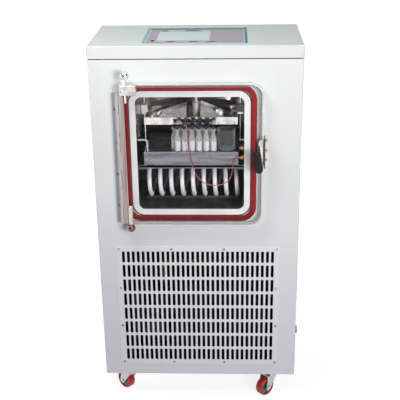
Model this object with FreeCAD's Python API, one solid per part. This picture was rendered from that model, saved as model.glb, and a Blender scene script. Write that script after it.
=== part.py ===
"""Free-standing pilot freeze dryer: a square shelf chamber behind a clear hinged door,
above a ventilated refrigeration compartment, on four swivel casters.

Millimetres.  x to the right, y to the back, z up.  The sub-parts are drawn with x = 0 on
the middle of the cabinet, y = 0 on the face of the front panel and z = 0 on the floor.
write() then moves each one so that the whole part stands centred on its origin.
"""
import FreeCAD, Part
import math
import os

V = FreeCAD.Vector
X = V(1, 0, 0)
Y = V(0, 1, 0)
Z = V(0, 0, 1)

# ---------------------------------------------------------------- driving dimensions
# cabinet
CAB_W = 648.0            # over the side panels
CAB_D = 340.0            # front panel face to rear panel face
CAB_TOP = 1228.0         # floor to the top of the lid
SHEET = 1.5              # panel sheet
BEND_R = 4.0             # outside radius of the folded edges
CAP_H = 38.0             # lid skirt
CAP_LAP = 1.0            # lid past the panels, each side
CAP_GROOVE = 3.0         # dark joint under the lid
RETURN_D = 18.0          # side returns of the front panel
PANEL_GAP = 0.5          # joint between neighbouring panels
PAN_FLANGE = 40.0        # upturned edge of the base pan
PAN_CORNER = 3.0         # rounded front corners of the base pan
FRAME_TUBE = 25.0        # square tube of the frame
FRAME_WALL = 1.5
BEARER_H = 20.0          # bearers under the chamber

# chamber and door seal
CHAMBER_X = -18.5        # centre of the chamber opening
CHAMBER_Z = 889.5
OPEN_W = 333.0
OPEN_H = 367.0
OPEN_R = 20.0
CHAMBER_D = 262.0        # flange face to the inside of the back wall
CHAMBER_WALL = 2.0
FLANGE_PROUD = 4.0       # flange face in front of the front panel
FLANGE_T = 12.0
FLANGE_RIM = 5.0         # flange outside the gasket
SEAL_IN = 21.5           # opening edge to gasket
SEAL_R = 11.0            # gasket's inner corner radius past the opening's
GASKET_W = 17.0
GASKET_T = 12.0
GROOVE_D = 4.0           # gasket groove in the flange
INSULATION_T = 25.0

# door and hinge
DOOR_GAP = 0.3           # gasket to door at rest
DOOR_T = 18.0
DOOR_LAP_RIGHT = 20.5    # door past the gasket: free edge, hinged edge, top and bottom
DOOR_LAP_LEFT = 8.0
DOOR_LAP_UP = 8.5
DOOR_R = 42.0
BARREL_R = 5.0           # hinge barrel
PIN_R = 2.5
PIN_CLEAR = 0.05
KNUCKLES = 7
KNUCKLE_GAP = 0.5
LEAF_T = 2.0
LEAF_W = 22.0            # barrel axis to the leaf's right edge
LEAF_IN_LOW = 9.0        # door's bottom and top edges to the ends of the hinge
LEAF_IN_HIGH = 32.0
FOOT_W = 16.0            # fixed leaf on the panel
HINGE_SIDE_GAP = 0.5     # barrel to the door's edge
HINGE_BLOCK_T = 20.0
BALL_R = 13.2
BALL_ROD_R = 3.25
BALL_NECK_R = 5.5        # collar between each ball and its block
BALL_PIN_OUT = 14.0      # ball pins in front of the door's face
BALL_PIN_IN = 23.5       # ball pins from the door's hinged edge
BLOCK_TOP = (7.5, 56.0, -31.0, 0.0)      # upper block: x from the hinged edge, z from the top edge
BLOCK_LOW = (18.0, 29.0, 14.0, 69.0)     # lower block: the same, z from the bottom edge
BALL_TOP_UP = 28.7       # balls and the ends of their pins from the door's top and bottom edges
BALL_LOW_UP = -0.6
PIN_TOP_UP = -54.0
PIN_LOW_UP = 76.0

# latch
LATCH_H = 95.0
LATCH_RISE = 13.5        # middle of the chamber to the middle of the latch post
LATCH_POST_GAP = 1.5     # door edge to the post
LATCH_POST_T = 3.0
LATCH_FOOT_W = 12.0
SLOT_PLAY = 1.5          # finger in its slot, each side
ROSE_EDGE = 3.5          # door edge to the rose
ROSE_W = 13.0
ROSE_T = 2.0
ROSE_R = 12.0
ROSE_SHORT = 4.5         # rose's ends inside the post's
ROSE_EYE_R = 10.0        # round of the rose about the stem
STEM_IN = 19.0           # door edge to the stem
STUD_R = 5.0
FINGER_L = 27.0
FINGER_W = 9.0
FINGER_T = 4.0
FINGER_STAND = 6.0       # door face to the back of the finger
GRIP_L = 73.0
GRIP_W = 25.0
GRIP_T = 21.0
GRIP_TILT = 9.0          # degrees, top towards the chamber
GRIP_DROP = 18.0         # grip's middle below the middle of the post
GRIP_EDGE_R = 9.0
GRIP_STAND = 23.0        # door face to the back of the grip

# shelves and load
SHELF_GAP_L = 18.0       # chamber walls to the shelf's sides
SHELF_GAP_R = 18.0
SHELF_OVER_DRIP = 56.0   # underside of the drip shelf to the shelf's top
SHELF_H = 44.0
SHELF_FRONT = 30.0
SHELF_GAP_BACK = 26.0    # shelf's back edge to the chamber's back wall
SHELF_SHEET = 3.0
DRIP_OVER_COIL = 12.5     # coil to the underside of the drip shelf
DRIP_T = 3.0
VIAL_R = 10.2
VIAL_H = 71.0
VIAL_WALL = 1.0
VIAL_GAP = 2.2
VIAL_X0 = CHAMBER_X - 42.5   # leftmost vial of the front row
VIAL_Y0 = 42.0
VIAL_ROWS = ((0.0, 6), (-0.5, 6), (1.0, 4))      # each row's first place, in pitches, and its vials
STOPPER_CAP = 3.0
STOPPER_PLUG = 7.0
STOPPER_LIFT = 5.0       # stoppers stand part way out while the load dries
JAR_R = 29.0
JAR_H = 66.0
JAR_GAP = 0.8            # last vial of the front row to the jar
JAR_Y = 61.0

# stoppering press
PRESS_OVER_SHELF = 70.0
PRESS_T = 25.0
PRESS_WALL = 2.5         # press plate: a tray, its walls and its floor
PRESS_FLOOR = 3.0
PRESS_FRONT = 92.0
PRESS_GAP_BACK = 2.0     # press plate's back edge to the shelf's
PRESS_RISE = 53.0        # crown of the pyramid over the tray's floor
PRESS_INSET = 12.0       # outside of the tray to the foot of the pyramid
CROWN = 16.0             # half the crown's width
NOTCH = (-30.0, 15.0)    # gap in the pyramid, from the spindle's axis
SPINDLE_R = 12.0
NUT_LOW_H = 32.5         # the two nuts of the spindle
NUT_HIGH_H = 21.5
SPINDLE_X = CHAMBER_X + 12.5
GUIDE_R = 4.0
GUIDE_CLEAR = 0.1

# ice condenser coil
COIL_TURNS = 9
COIL_GAP_L = 30.0        # chamber walls to the first and the last turn
COIL_GAP_R = 22.2
COIL_R = 45.0
COIL_TUBE_R = 7.0
COIL_LEAN = 5.0          # sideways run of the front half of a turn
COIL_Y = 100.0
COIL_OVER_FLOOR = 8.5

# ventilation grille
GRILLE_W = 532.0
GRILLE_H = 443.0
GRILLE_X = -1.5
GRILLE_Z = 351.5
SLOT_W = 9.4
SLOT_H = 44.5
SLOT_COLS = 31
SLOT_ROWS = 8
SLOT_PITCH_X = 16.2
SLOT_PITCH_Z = 52.8
GRILLE_EDGE = 18.0       # grille beyond the hole behind it
SCREW_HEAD_R = 4.0
SCREW_HEAD_T = 2.2
SCREW_R = 2.0

# control panel
PANEL_W = 320.0
PANEL_D = 245.0
PANEL_X = -2.0
PANEL_Y = 160.0
PANEL_T = 2.0
SCREEN_W = 165.0
SCREEN_D = 178.0
SCREEN_X = -39.5
SCREEN_Y = 150.0
LAMP_R = 4.0

# refrigeration set
COMP_X = -165.0
COMP_Y = 185.0
COMP_R = 78.0
COMP_H = 215.0
FIN_X = 75.0             # middle of the finned condenser
FIN_W = 290.0
FIN_H = 300.0
FIN_T = 46.0
FIN_Y = 34.0
FAN_R = 122.0
FAN_TIP_GAP = 4.0
PIPE_R = 4.8

# rear and side fittings
PORT_X = CHAMBER_X + 114.5
PORT_Z = CHAMBER_Z + 116.5
PORT_BORE_R = 13.0
PORT_WALL = 1.5
PORT_FLANGE_R = 20.0
PORT_OUT = 30.0
INLET_IN = 98.0          # side of the cabinet to the middle of the inlet
INLET_Z = 190.0
DRAIN_Y = 60.0
DRAIN_Z = 234.0
DRAIN_OUT = 8.0

# casters
WHEEL_R = 32.5
PAN_OVER_WHEEL = 25.0    # top of the wheels to the base pan
WHEEL_W = 28.0
TRAIL = 28.0
CASTER_IN = 80.0         # side of the cabinet to the swivel axes
CASTER_Y = 38.0
CASTER_PLATE = 66.0
AXLE_R = 4.0

FOOT_SCREWS = 4          # along the fixed hinge leaf
DRAIN_PIPE_R = 5.0
LOUVRE_X = 150.0         # rear air slots: middle of each column
LOUVRE_Z = 488.0
LOUVRE_ROWS = 5
LOUVRE_PITCH = 28.0
LOUVRE_L = 200.0
LOUVRE_W = 9.0
INLET_W = 28.0
INLET_H = 24.0
CAP_EDGE_R = 2.5
BEZEL_LAP = 12.0         # bezel past its window in the lid
SCREEN_CLEAR = 0.3
SCREEN_SUNK = 0.5        # glass below the bezel's face
SCREEN_DEPTH = 24.0
SCREEN_LIP = 5.0         # housing past the glass, under the bezel
LAMP_X = -132.0
LAMP_Y = 66.0
SLOT_MID_Z = GRILLE_Z + 1.5
BEARER_FRONT = 60.0
BEARER_REAR = 215.0
FIN_PITCH = 6.0
FIN_SPACE = 4.0
PIPE_BEND = 20.0
LIQUID_Y = 306.0         # where the liquid line climbs behind the chamber
LIQUID_Z = 684.0
SUCTION_Z = 600.0
SUCTION_OUT = 22.0       # suction line's axis behind the foam
GLAND_R = 15.0           # gland for the ram in the chamber's ceiling
RAM_R = 5.0
RAM_UNDER_LID = 58.0     # top of the lid to the ram's top, and to the drive's
DRIVE_R = 24.0
DRIVE_UNDER_LID = 32.0
PORT_FIT = 0.2
GROOVE_FIT = 0.2
FOAM_FIT = 0.25          # insulation clear of the chamber it lies round
FOAM_GAP = 0.5
GASKET_EDGE_R = 2.0
RAIL_T = 2.0
RAIL_W = 26.0
VIAL_NECK_R = 5.6
STOPPER_CLEAR = 0.15
PRESS_LAP = 2.0          # press plate's offset from the shelf's sides
GUIDE_BLOCK = 20.0
GUIDE_IN = 11.0          # chamber walls to the guide rods
EAR_OUT = 8.0            # press plate's ears past the guide rods
GUIDE_BLOCK_H = 24.0
SEAT_GAP = 0.3
TUBE_R = 3.0
TUBE_Y = 44.0
TUBE_Z = 922.0
TUBE_RUN = 28.0
TUBE_STUB = 14.0
GLAND_Y = 22.0
GLAND_Z = 903.0
GLAND_STEP = 32.0
PROBE_R = 1.3            # temperature probe lead
PROBE_ROUTE = (          # gland nose, loop in front of the coil, up past the shelf, stopper
    (132.0, 22.0, 871.0), (119.0, 22.0, 867.0), (113.0, 23.0, 845.0), (110.0, 24.0, 816.0),
    (101.0, 24.0, 793.0), (82.0, 23.0, 780.0), (56.0, 23.0, 776.0), (32.0, 23.0, 780.0),
    (12.0, 23.0, 792.0), (-3.0, 23.0, 812.0), (-14.5, 22.0, 838.0), (-21.5, 21.0, 866.0),
    (-25.5, 20.0, 896.0), (-29.0, 20.0, 924.0), (-29.9, 19.5, 944.0), (-30.9, 20.0, 961.0),
    (-30.9, 20.8, 974.5), (-33.1, 26.8, 981.3), (-36.2, 35.7, 981.3), (-38.4, 42.0, 974.5),
    (-38.4, 42.0, 966.0))
COMP_FOOT = 12.0         # rubber feet of the compressor
COMP_BASE = 210.0
FIN_FOOT = 3.0
SHROUD_D = 34.0
SHROUD_T = 2.0
HUB_R = 30.0
BLADES = 5
BLADE_T = 2.5
FAN_GAP = 6.0            # finned block to the blades
MOTOR_R = 38.0
MOTOR_L = 62.0
MOTOR_GAP = 1.0
SHAFT_R = 4.0
BOX_X = 150.0            # electrical box
BOX_Z = 520.0
BOX_W = 180.0
BOX_H = 130.0
BOX_D = 110.0
KNOB_R = 13.0
KNOB_L = 6.0
FORK_T = 3.0
FORK_GAP = 2.0           # wheel to fork leg, each side
RACE_R = 22.0
RACE_H = 10.0
PLATE_T = 3.0
AXLE_CLEAR = 0.08
SWIVEL_R = 6.0

# ---------------------------------------------------------------- places worked out
HALF_W = CAB_W / 2
IN_X = HALF_W - SHEET                        # inside faces of the side panels
BODY_TOP = CAB_TOP - CAP_H - CAP_GROOVE
FLANGE_Y = -FLANGE_PROUD
GASKET_IN_W = OPEN_W + 2 * SEAL_IN
GASKET_IN_H = OPEN_H + 2 * SEAL_IN
GASKET_FACE = FLANGE_Y + GROOVE_D - GASKET_T
DOOR_RIGHT = GASKET_IN_W / 2 + GASKET_W + DOOR_LAP_RIGHT     # from the middle of the chamber
DOOR_LEFT = GASKET_IN_W / 2 + GASKET_W + DOOR_LAP_LEFT
DOOR_UP = GASKET_IN_H / 2 + GASKET_W + DOOR_LAP_UP
LEAF_LOW = CHAMBER_Z - DOOR_UP + LEAF_IN_LOW
LEAF_HIGH = CHAMBER_Z + DOOR_UP - LEAF_IN_HIGH
LATCH_Z = CHAMBER_Z + LATCH_RISE
DOOR_BACK = GASKET_FACE - DOOR_GAP
DOOR_FACE = DOOR_BACK - DOOR_T
HINGE_X = CHAMBER_X - DOOR_LEFT - HINGE_SIDE_GAP - BARREL_R
HINGE_Y = DOOR_FACE - LEAF_T + BARREL_R
LATCH_POST_X = CHAMBER_X + DOOR_RIGHT + LATCH_POST_GAP
STEM_X = CHAMBER_X + DOOR_RIGHT - STEM_IN
FINGER_FRONT = DOOR_FACE - FINGER_STAND - FINGER_T
POST_FRONT = FINGER_FRONT - 6
GRIP_BACK = DOOR_FACE - GRIP_STAND
FRONT_MOST = GRIP_BACK - GRIP_T
CHAMBER_BACK = FLANGE_Y + CHAMBER_D
INSULATION_BACK = CHAMBER_BACK + CHAMBER_WALL + INSULATION_T
INSULATION_LOW = CHAMBER_Z - OPEN_H / 2 - CHAMBER_WALL - INSULATION_T
REAR_MOST = CAB_D + PORT_OUT
SHELF_BACK = CHAMBER_BACK - SHELF_GAP_BACK
PRESS_BACK = SHELF_BACK - PRESS_GAP_BACK
ORIGIN = V(0, (FRONT_MOST + REAR_MOST) / 2, 0)
CASTER_H = 2 * WHEEL_R + PAN_OVER_WHEEL      # floor to the base pan
FLOOR_IN = CASTER_H + SHEET                  # inside face of the base pan
CEILING = CHAMBER_Z + OPEN_H / 2             # inside of the chamber, top
WALL_L = CHAMBER_X - OPEN_W / 2              # inside of the chamber, side walls
WALL_R = CHAMBER_X + OPEN_W / 2
PRESS_Y = (PRESS_FRONT + PRESS_BACK) / 2
COIL_X0 = WALL_L + COIL_GAP_L                # front of the first turn
COIL_PITCH = (OPEN_W - COIL_GAP_L - COIL_GAP_R) / (COIL_TURNS - 1)
COIL_Z = CHAMBER_Z - OPEN_H / 2 + COIL_OVER_FLOOR + COIL_TUBE_R + COIL_R
DRIP_Z = COIL_Z + COIL_R + COIL_TUBE_R + DRIP_OVER_COIL      # underside of the drip shelf
SHELF_TOP = DRIP_Z + SHELF_OVER_DRIP
SHELF_L = SHELF_GAP_L - OPEN_W / 2           # shelf's sides from the middle of the chamber
SHELF_R = OPEN_W / 2 - SHELF_GAP_R
PRESS_BOTTOM = SHELF_TOP + PRESS_OVER_SHELF
VIAL_PITCH = 2 * VIAL_R + VIAL_GAP
JAR_X = VIAL_X0 + (VIAL_ROWS[0][1] - 1) * VIAL_PITCH + VIAL_R + JAR_GAP + JAR_R
RAM_TOP = CAB_TOP - RAM_UNDER_LID
DRIVE_TOP = CAB_TOP - DRIVE_UNDER_LID
INLET_X = INLET_IN - HALF_W
CASTER_X = HALF_W - CASTER_IN


# ---------------------------------------------------------------- drawing helpers
def box(x0, x1, y0, y1, z0, z1):
    return Part.makeBox(x1 - x0, y1 - y0, z1 - z0, V(x0, y0, z0))


def rod(radius, start, axis, length):
    return Part.makeCylinder(radius, length, start, axis)


def pipe_ring(outer, inner, start, axis, length):
    return rod(outer, start, axis, length).cut(rod(inner, start - axis, axis, length + 2))


def fuse(shapes):
    return shapes[0].multiFuse(shapes[1:]).removeSplitter()


def cut(shape, tools):
    return shape.cut(Part.makeCompound(tools)) if tools else shape


def fillet(shape, radius, picks):
    """Round the edges for which picks(edge) is true."""
    return shape.makeFillet(radius, [edge for edge in shape.Edges if picks(edge)])


def along(edge, axis):
    """True for a straight edge that runs along the axis."""
    if not isinstance(edge.Curve, Part.Line):
        return False
    return abs(abs(edge.tangentAt(edge.FirstParameter).dot(axis)) - 1) < 1e-6


def plate(width, height, radius, depth, centre, normal):
    """A slab with rounded corners, its first face centred on a point.

    normal Y lays width along x and height along z; normal Z lays height along y.
    """
    if normal == Y:
        slab = box(-width / 2, width / 2, 0, depth, -height / 2, height / 2)
    else:
        slab = box(-width / 2, width / 2, -height / 2, height / 2, 0, depth)
    if radius:
        slab = fillet(slab, radius, lambda edge: along(edge, normal))
    slab.translate(centre)
    return slab


def slot(width, length, depth, centre, long_axis, normal):
    """A cutter for a slot with round ends, first face centred on a point."""
    half = (length - width) / 2
    across = long_axis.cross(normal)
    start = centre - long_axis * half - across * (width / 2)
    corners = [start, start + across * width]
    corners += [corners[1] + long_axis * 2 * half, start + long_axis * 2 * half]
    middle_low = centre - long_axis * (half + width / 2)
    middle_high = centre + long_axis * (half + width / 2)
    edges = [Part.Arc(corners[0], middle_low, corners[1]).toShape(),
             Part.LineSegment(corners[1], corners[2]).toShape(),
             Part.Arc(corners[2], middle_high, corners[3]).toShape(),
             Part.LineSegment(corners[3], corners[0]).toShape()]
    return Part.Face(Part.Wire(edges)).extrude(normal * depth)


def turned(profile, centre, axis=Z):
    """Revolve (radius, height) points about an axis through a point."""
    points = [V(r, 0, h) for r, h in profile]
    face = Part.Face(Part.makePolygon(points + points[:1]))
    body = face.revolve(V(0, 0, 0), Z, 360)
    body.Placement = FreeCAD.Placement(centre, FreeCAD.Rotation(Z, axis))
    return body


def route(points, bend=None):
    """A wire of straight runs through the points, with tangent arcs at the corners.

    Without a bend radius each arc is as large as its two runs allow.
    """
    edges = []
    start = points[0]
    for before, corner, after in zip(points, points[1:], points[2:]):
        into = (corner - before).normalize()
        out = (after - corner).normalize()
        half = into.getAngle(out) / 2
        largest = 0.45 * min(before.distanceToPoint(corner), corner.distanceToPoint(after)) / math.tan(half)
        radius = bend or largest
        reach = radius * math.tan(half)
        first = corner - into * reach
        last = corner + out * reach
        inward = (out - into).normalize()
        middle = corner + inward * (radius / math.cos(half) - radius)
        if (first - start).Length > 1e-3:
            edges.append(Part.LineSegment(start, first).toShape())
        edges.append(Part.Arc(first, middle, last).toShape())
        start = last
        if not bend:
            print("  arc radius", round(radius, 1))
    edges.append(Part.LineSegment(start, points[-1]).toShape())
    return Part.Wire(edges)


def bent_pipe(points, radius, bend=None):
    path = route(points, bend)
    ring = Part.Wire(Part.makeCircle(radius, points[0], points[1] - points[0]))
    return path.makePipeShell([ring], True, False)


def screw(centre, axis, length):
    """A pan-head screw: the head's underside is at the point, the shank runs along the axis."""
    head = rod(SCREW_HEAD_R, centre - axis * SCREW_HEAD_T, axis, SCREW_HEAD_T)
    head = fillet(head, SCREW_HEAD_T * 0.6, lambda e: (e.CenterOfMass - centre).Length > SCREW_HEAD_T * 0.9)
    return fuse([head, rod(SCREW_R, centre, axis, length)])


def write(name, shape):
    """Save a sub-part, moved into the frame of the whole part."""
    moved = shape.copy()
    moved.translate(ORIGIN * -1)
    moved.exportStep("parts/" + name + ".step")
    print(name, len(moved.Solids), moved.isValid(), round(moved.Volume / 1000, 2), "cm3")


def write_group(name, shapes):
    write(name, Part.makeCompound(shapes))


# ---------------------------------------------------------------- cabinet
def screw_places():
    """Front screws of the grille: four along each edge."""
    half_w = GRILLE_W / 2 - GRILLE_EDGE / 2
    half_h = GRILLE_H / 2 - GRILLE_EDGE / 2
    shares = (-1, -1 / 3, 1 / 3, 1)
    places = [(GRILLE_X + half_w * a, GRILLE_Z + half_h * b)
              for a in shares for b in shares if max(abs(a), abs(b)) == 1]
    return places


def rear_screw_places():
    """Screws of the rear panel: into the pan's flange and into the top rail."""
    low = FLOOR_IN + PAN_FLANGE / 2
    high = BODY_TOP - 14
    return [(x, z) for x in (-IN_X + 30, 0, IN_X - 30) for z in (low, high)]


def base_pan():
    outer = box(-IN_X, IN_X, SHEET, CAB_D - SHEET, CASTER_H, FLOOR_IN + PAN_FLANGE)
    inner = box(-IN_X + SHEET, IN_X - SHEET, 2 * SHEET, CAB_D - 2 * SHEET,
                FLOOR_IN, FLOOR_IN + PAN_FLANGE + 1)
    holes = [rod(SCREW_R + 0.2, V(x, CAB_D - 3 * SHEET, FLOOR_IN + PAN_FLANGE / 2), Y, 3 * SHEET)
             for x in (-IN_X + 30, 0, IN_X - 30)]
    outer = fillet(outer, PAN_CORNER, lambda e: along(e, Z) and e.CenterOfMass.y < 2 * SHEET)
    return cut(outer, [inner] + holes)


def frame_members():
    """Each member as (x0, x1, y0, y1, z0, z1), and which way its bore runs."""
    t = FRAME_TUBE
    x1 = IN_X - SHEET
    y0 = 2 * SHEET
    y1 = CAB_D - 2 * SHEET
    top = CAB_TOP - SHEET
    mid = INSULATION_LOW - BEARER_H
    members = []
    for xa in (-x1, x1 - t):
        for ya in (y0, y1 - t):
            members.append((xa, xa + t, ya, ya + t, FLOOR_IN, top, "z"))
    for z in (mid, top):
        for ya in (y0, y1 - t):
            members.append((-x1, x1, ya, ya + t, z - t, z, "x"))
        for xa in (-x1, x1 - t):
            members.append((xa, xa + t, y0, y1, z - t, z, "y"))
    return members


def inner_frame():
    w = FRAME_WALL
    outers = []
    bores = []
    for x0, x1, y0, y1, z0, z1, way in frame_members():
        outers.append(box(x0, x1, y0, y1, z0, z1))
        ends = {"x": (w, w, w), "y": (w, w, w), "z": (w, w, -1)}[way]
        bores.append(box(x0 + ends[0], x1 - ends[0], y0 + ends[1], y1 - ends[1], z0 + ends[2], z1 - ends[2]))
    x1 = IN_X - SHEET
    for y in (BEARER_FRONT, BEARER_REAR):
        outers.append(box(-x1, x1, y, y + FRAME_TUBE, INSULATION_LOW - BEARER_H, INSULATION_LOW))
        bores.append(box(-x1 - 1, x1 + 1, y + w, y + FRAME_TUBE - w,
                         INSULATION_LOW - BEARER_H + w, INSULATION_LOW - w))
    frame = fuse(outers)
    holes = [rod(SCREW_R + 0.2, V(x, CAB_D - 3 * SHEET, BODY_TOP - 14), Y, 3 * SHEET)
             for x in (-IN_X + 30, 0, IN_X - 30)]
    return cut(frame, bores + holes)


def folded_front(shape_top, shape_low, depth):
    """The folded front: a face and two side returns, with rounded outer edges."""
    outer = box(-HALF_W, HALF_W, 0, depth, shape_low, shape_top)
    outer = fillet(outer, BEND_R, lambda e: along(e, Z) and e.CenterOfMass.y < 0.1)
    inner = box(-IN_X, IN_X, SHEET, depth + 1, shape_low - 1, shape_top + 1)
    inner = fillet(inner, BEND_R - SHEET, lambda e: along(e, Z) and e.CenterOfMass.y < SHEET + 0.1)
    return outer.cut(inner)


def front_panel():
    sheet = folded_front(BODY_TOP, CASTER_H, RETURN_D)
    rim = SEAL_IN + GASKET_W + FLANGE_RIM + PANEL_GAP
    mouth = plate(OPEN_W + 2 * rim, OPEN_H + 2 * rim, OPEN_R + rim - SEAL_IN + SEAL_R, 3 * SHEET,
                  V(CHAMBER_X, -SHEET, CHAMBER_Z), Y)
    hole = plate(GRILLE_W - 2 * GRILLE_EDGE, GRILLE_H - 2 * GRILLE_EDGE, BEND_R, 3 * SHEET,
                 V(GRILLE_X, -SHEET, GRILLE_Z), Y)
    taps = [rod(SCREW_R, V(x, -SHEET, z), Y, 3 * SHEET) for x, z in screw_places()]
    taps += [rod(SCREW_R, V(x, -SHEET, z), Y, 3 * SHEET) for x, z in hinge_screw_places()]
    taps += [rod(SCREW_R, V(x, -SHEET, z), Y, 3 * SHEET) for x, z in latch_screw_places()]
    return cut(sheet, [mouth, hole] + taps)


def side_panel(side):
    """A flat side sheet; the right one lets the drain valve through."""
    x0, x1 = sorted((side * IN_X, side * HALF_W))
    sheet = box(x0, x1, RETURN_D + PANEL_GAP, CAB_D - SHEET - PANEL_GAP, CASTER_H, BODY_TOP)
    if side < 0:
        return sheet
    hole = rod(DRAIN_PIPE_R + 0.3, V(x0 - 1, DRAIN_Y, DRAIN_Z), X, SHEET + 2)
    return sheet.cut(hole)


def rear_panel():
    sheet = box(-HALF_W, HALF_W, CAB_D - SHEET, CAB_D, CASTER_H, BODY_TOP)
    cutters = []
    for column in (-1, 1):
        for row in range(LOUVRE_ROWS):
            centre = V(column * LOUVRE_X, CAB_D - 2 * SHEET, LOUVRE_Z + row * LOUVRE_PITCH)
            cutters.append(slot(LOUVRE_W, LOUVRE_L, 3 * SHEET, centre, X, Y))
    port_hole = PORT_BORE_R + PORT_WALL + PANEL_GAP
    cutters.append(rod(port_hole, V(PORT_X, CAB_D - 2 * SHEET, PORT_Z), Y, 3 * SHEET))
    cutters.append(box(INLET_X - INLET_W / 2, INLET_X + INLET_W / 2, CAB_D - 2 * SHEET, CAB_D + SHEET,
                       INLET_Z - INLET_H / 2, INLET_Z + INLET_H / 2))
    cutters += [rod(SCREW_R + 0.2, V(x, CAB_D - 2 * SHEET, z), Y, 3 * SHEET) for x, z in rear_screw_places()]
    return cut(sheet, cutters)


def top_cap():
    """The lid: a folded tray, upside down, with a window for the control panel."""
    low = CAB_TOP - CAP_H
    x1 = HALF_W + CAP_LAP
    outer = box(-x1, x1, -CAP_LAP, CAB_D + CAP_LAP, low, CAB_TOP)
    outer = fillet(outer, BEND_R, lambda e: along(e, Z))
    outer = fillet(outer, CAP_EDGE_R, lambda e: e.CenterOfMass.z > CAB_TOP - 0.1)
    inner = box(-x1 + SHEET, x1 - SHEET, -CAP_LAP + SHEET, CAB_D + CAP_LAP - SHEET, low - 1, CAB_TOP - SHEET)
    inner = fillet(inner, BEND_R - SHEET, lambda e: along(e, Z))
    window = plate(PANEL_W - 2 * BEZEL_LAP, PANEL_D - 2 * BEZEL_LAP, BEND_R, 3 * SHEET,
                   V(PANEL_X, PANEL_Y, CAB_TOP - 2 * SHEET), Z)
    return cut(outer, [inner, window])


def grille_panel():
    face = plate(GRILLE_W, GRILLE_H, 2.0, SHEET, V(GRILLE_X, -SHEET, GRILLE_Z), Y)
    cutters = []
    for column in range(SLOT_COLS):
        for row in range(SLOT_ROWS):
            x = GRILLE_X + (column - (SLOT_COLS - 1) / 2) * SLOT_PITCH_X
            z = SLOT_MID_Z + (row - (SLOT_ROWS - 1) / 2) * SLOT_PITCH_Z
            cutters.append(slot(SLOT_W, SLOT_H, 3 * SHEET, V(x, -2 * SHEET, z), Z, Y))
    cutters += [rod(SCREW_R + 0.2, V(x, -2 * SHEET, z), Y, 3 * SHEET) for x, z in screw_places()]
    return cut(face, cutters)


def panel_screws():
    front = [screw(V(x, -SHEET, z), Y, 2.5 * SHEET) for x, z in screw_places()]
    front += [screw(V(x, -LEAF_T, z), Y, LEAF_T + 1.5 * SHEET) for x, z in hinge_screw_places()]
    front += [screw(V(x, -LATCH_POST_T, z), Y, LATCH_POST_T + 1.5 * SHEET) for x, z in latch_screw_places()]
    rear = [screw(V(x, CAB_D, z), Y * -1, 3 * SHEET - 0.2) for x, z in rear_screw_places()]
    return front + rear


# ---------------------------------------------------------------- control panel
def control_bezel():
    """The panel's face plate, with windows for the screen and the lamp."""
    face = plate(PANEL_W, PANEL_D, 6.0, PANEL_T, V(PANEL_X, PANEL_Y, CAB_TOP), Z)
    window = plate(SCREEN_W + 2 * SCREEN_CLEAR, SCREEN_D + 2 * SCREEN_CLEAR, 2.0, 3 * PANEL_T,
                   V(SCREEN_X, SCREEN_Y, CAB_TOP - PANEL_T), Z)
    lamp = rod(LAMP_R + 0.1, V(LAMP_X, LAMP_Y, CAB_TOP - 1), Z, PANEL_T + 2)
    return cut(face, [window, lamp])


def display_screen():
    """Touch screen module: glass in the window, a wider housing clipped up under the bezel."""
    top = CAB_TOP + PANEL_T - SCREEN_SUNK
    glass = plate(SCREEN_W, SCREEN_D, 2.0, SCREEN_DEPTH, V(SCREEN_X, SCREEN_Y, top - SCREEN_DEPTH), Z)
    housing = plate(SCREEN_W + 2 * SCREEN_LIP, SCREEN_D + 2 * SCREEN_LIP, 4.0,
                    SCREEN_DEPTH - PANEL_T + SCREEN_SUNK, V(SCREEN_X, SCREEN_Y, top - SCREEN_DEPTH), Z)
    return fuse([glass, housing])


def indicator_lamp():
    stem = rod(LAMP_R, V(LAMP_X, LAMP_Y, CAB_TOP - 8), Z, 8 + PANEL_T)
    dome = rod(LAMP_R + 2, V(LAMP_X, LAMP_Y, CAB_TOP + PANEL_T), Z, 1.5)
    dome = fillet(dome, 1.0, lambda e: e.CenterOfMass.z > CAB_TOP + PANEL_T + 1)
    return fuse([stem, dome])


# ---------------------------------------------------------------- chamber
def opening(width_more, height_more, radius_more, y0, y1):
    """A rounded block in line with the chamber opening, larger by the given amounts."""
    return plate(OPEN_W + 2 * width_more, OPEN_H + 2 * height_more, OPEN_R + radius_more, y1 - y0,
                 V(CHAMBER_X, y0, CHAMBER_Z), Y)


def wall_holes(clearance):
    """Cutters for what passes through the chamber's back wall and the insulation."""
    y = CHAMBER_BACK - 5
    run = INSULATION_BACK - y + 5
    cutters = [rod(PORT_BORE_R + PORT_WALL + clearance, V(PORT_X, y, PORT_Z), Y, run)]
    cutters += [rod(PIPE_R + clearance, V(x, y, z), Y, run) for x, z in coil_pipe_places()]
    return cutters


def seal_ring(play, y0, y1):
    """The ring of the gasket, narrower by the play on each side."""
    outer = SEAL_IN + GASKET_W - play
    inner = SEAL_IN + play
    ring = opening(outer, outer, SEAL_R + GASKET_W - play, y0, y1)
    return ring.cut(opening(inner, inner, SEAL_R + play, y0 - 1, y1 + 1))


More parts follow.
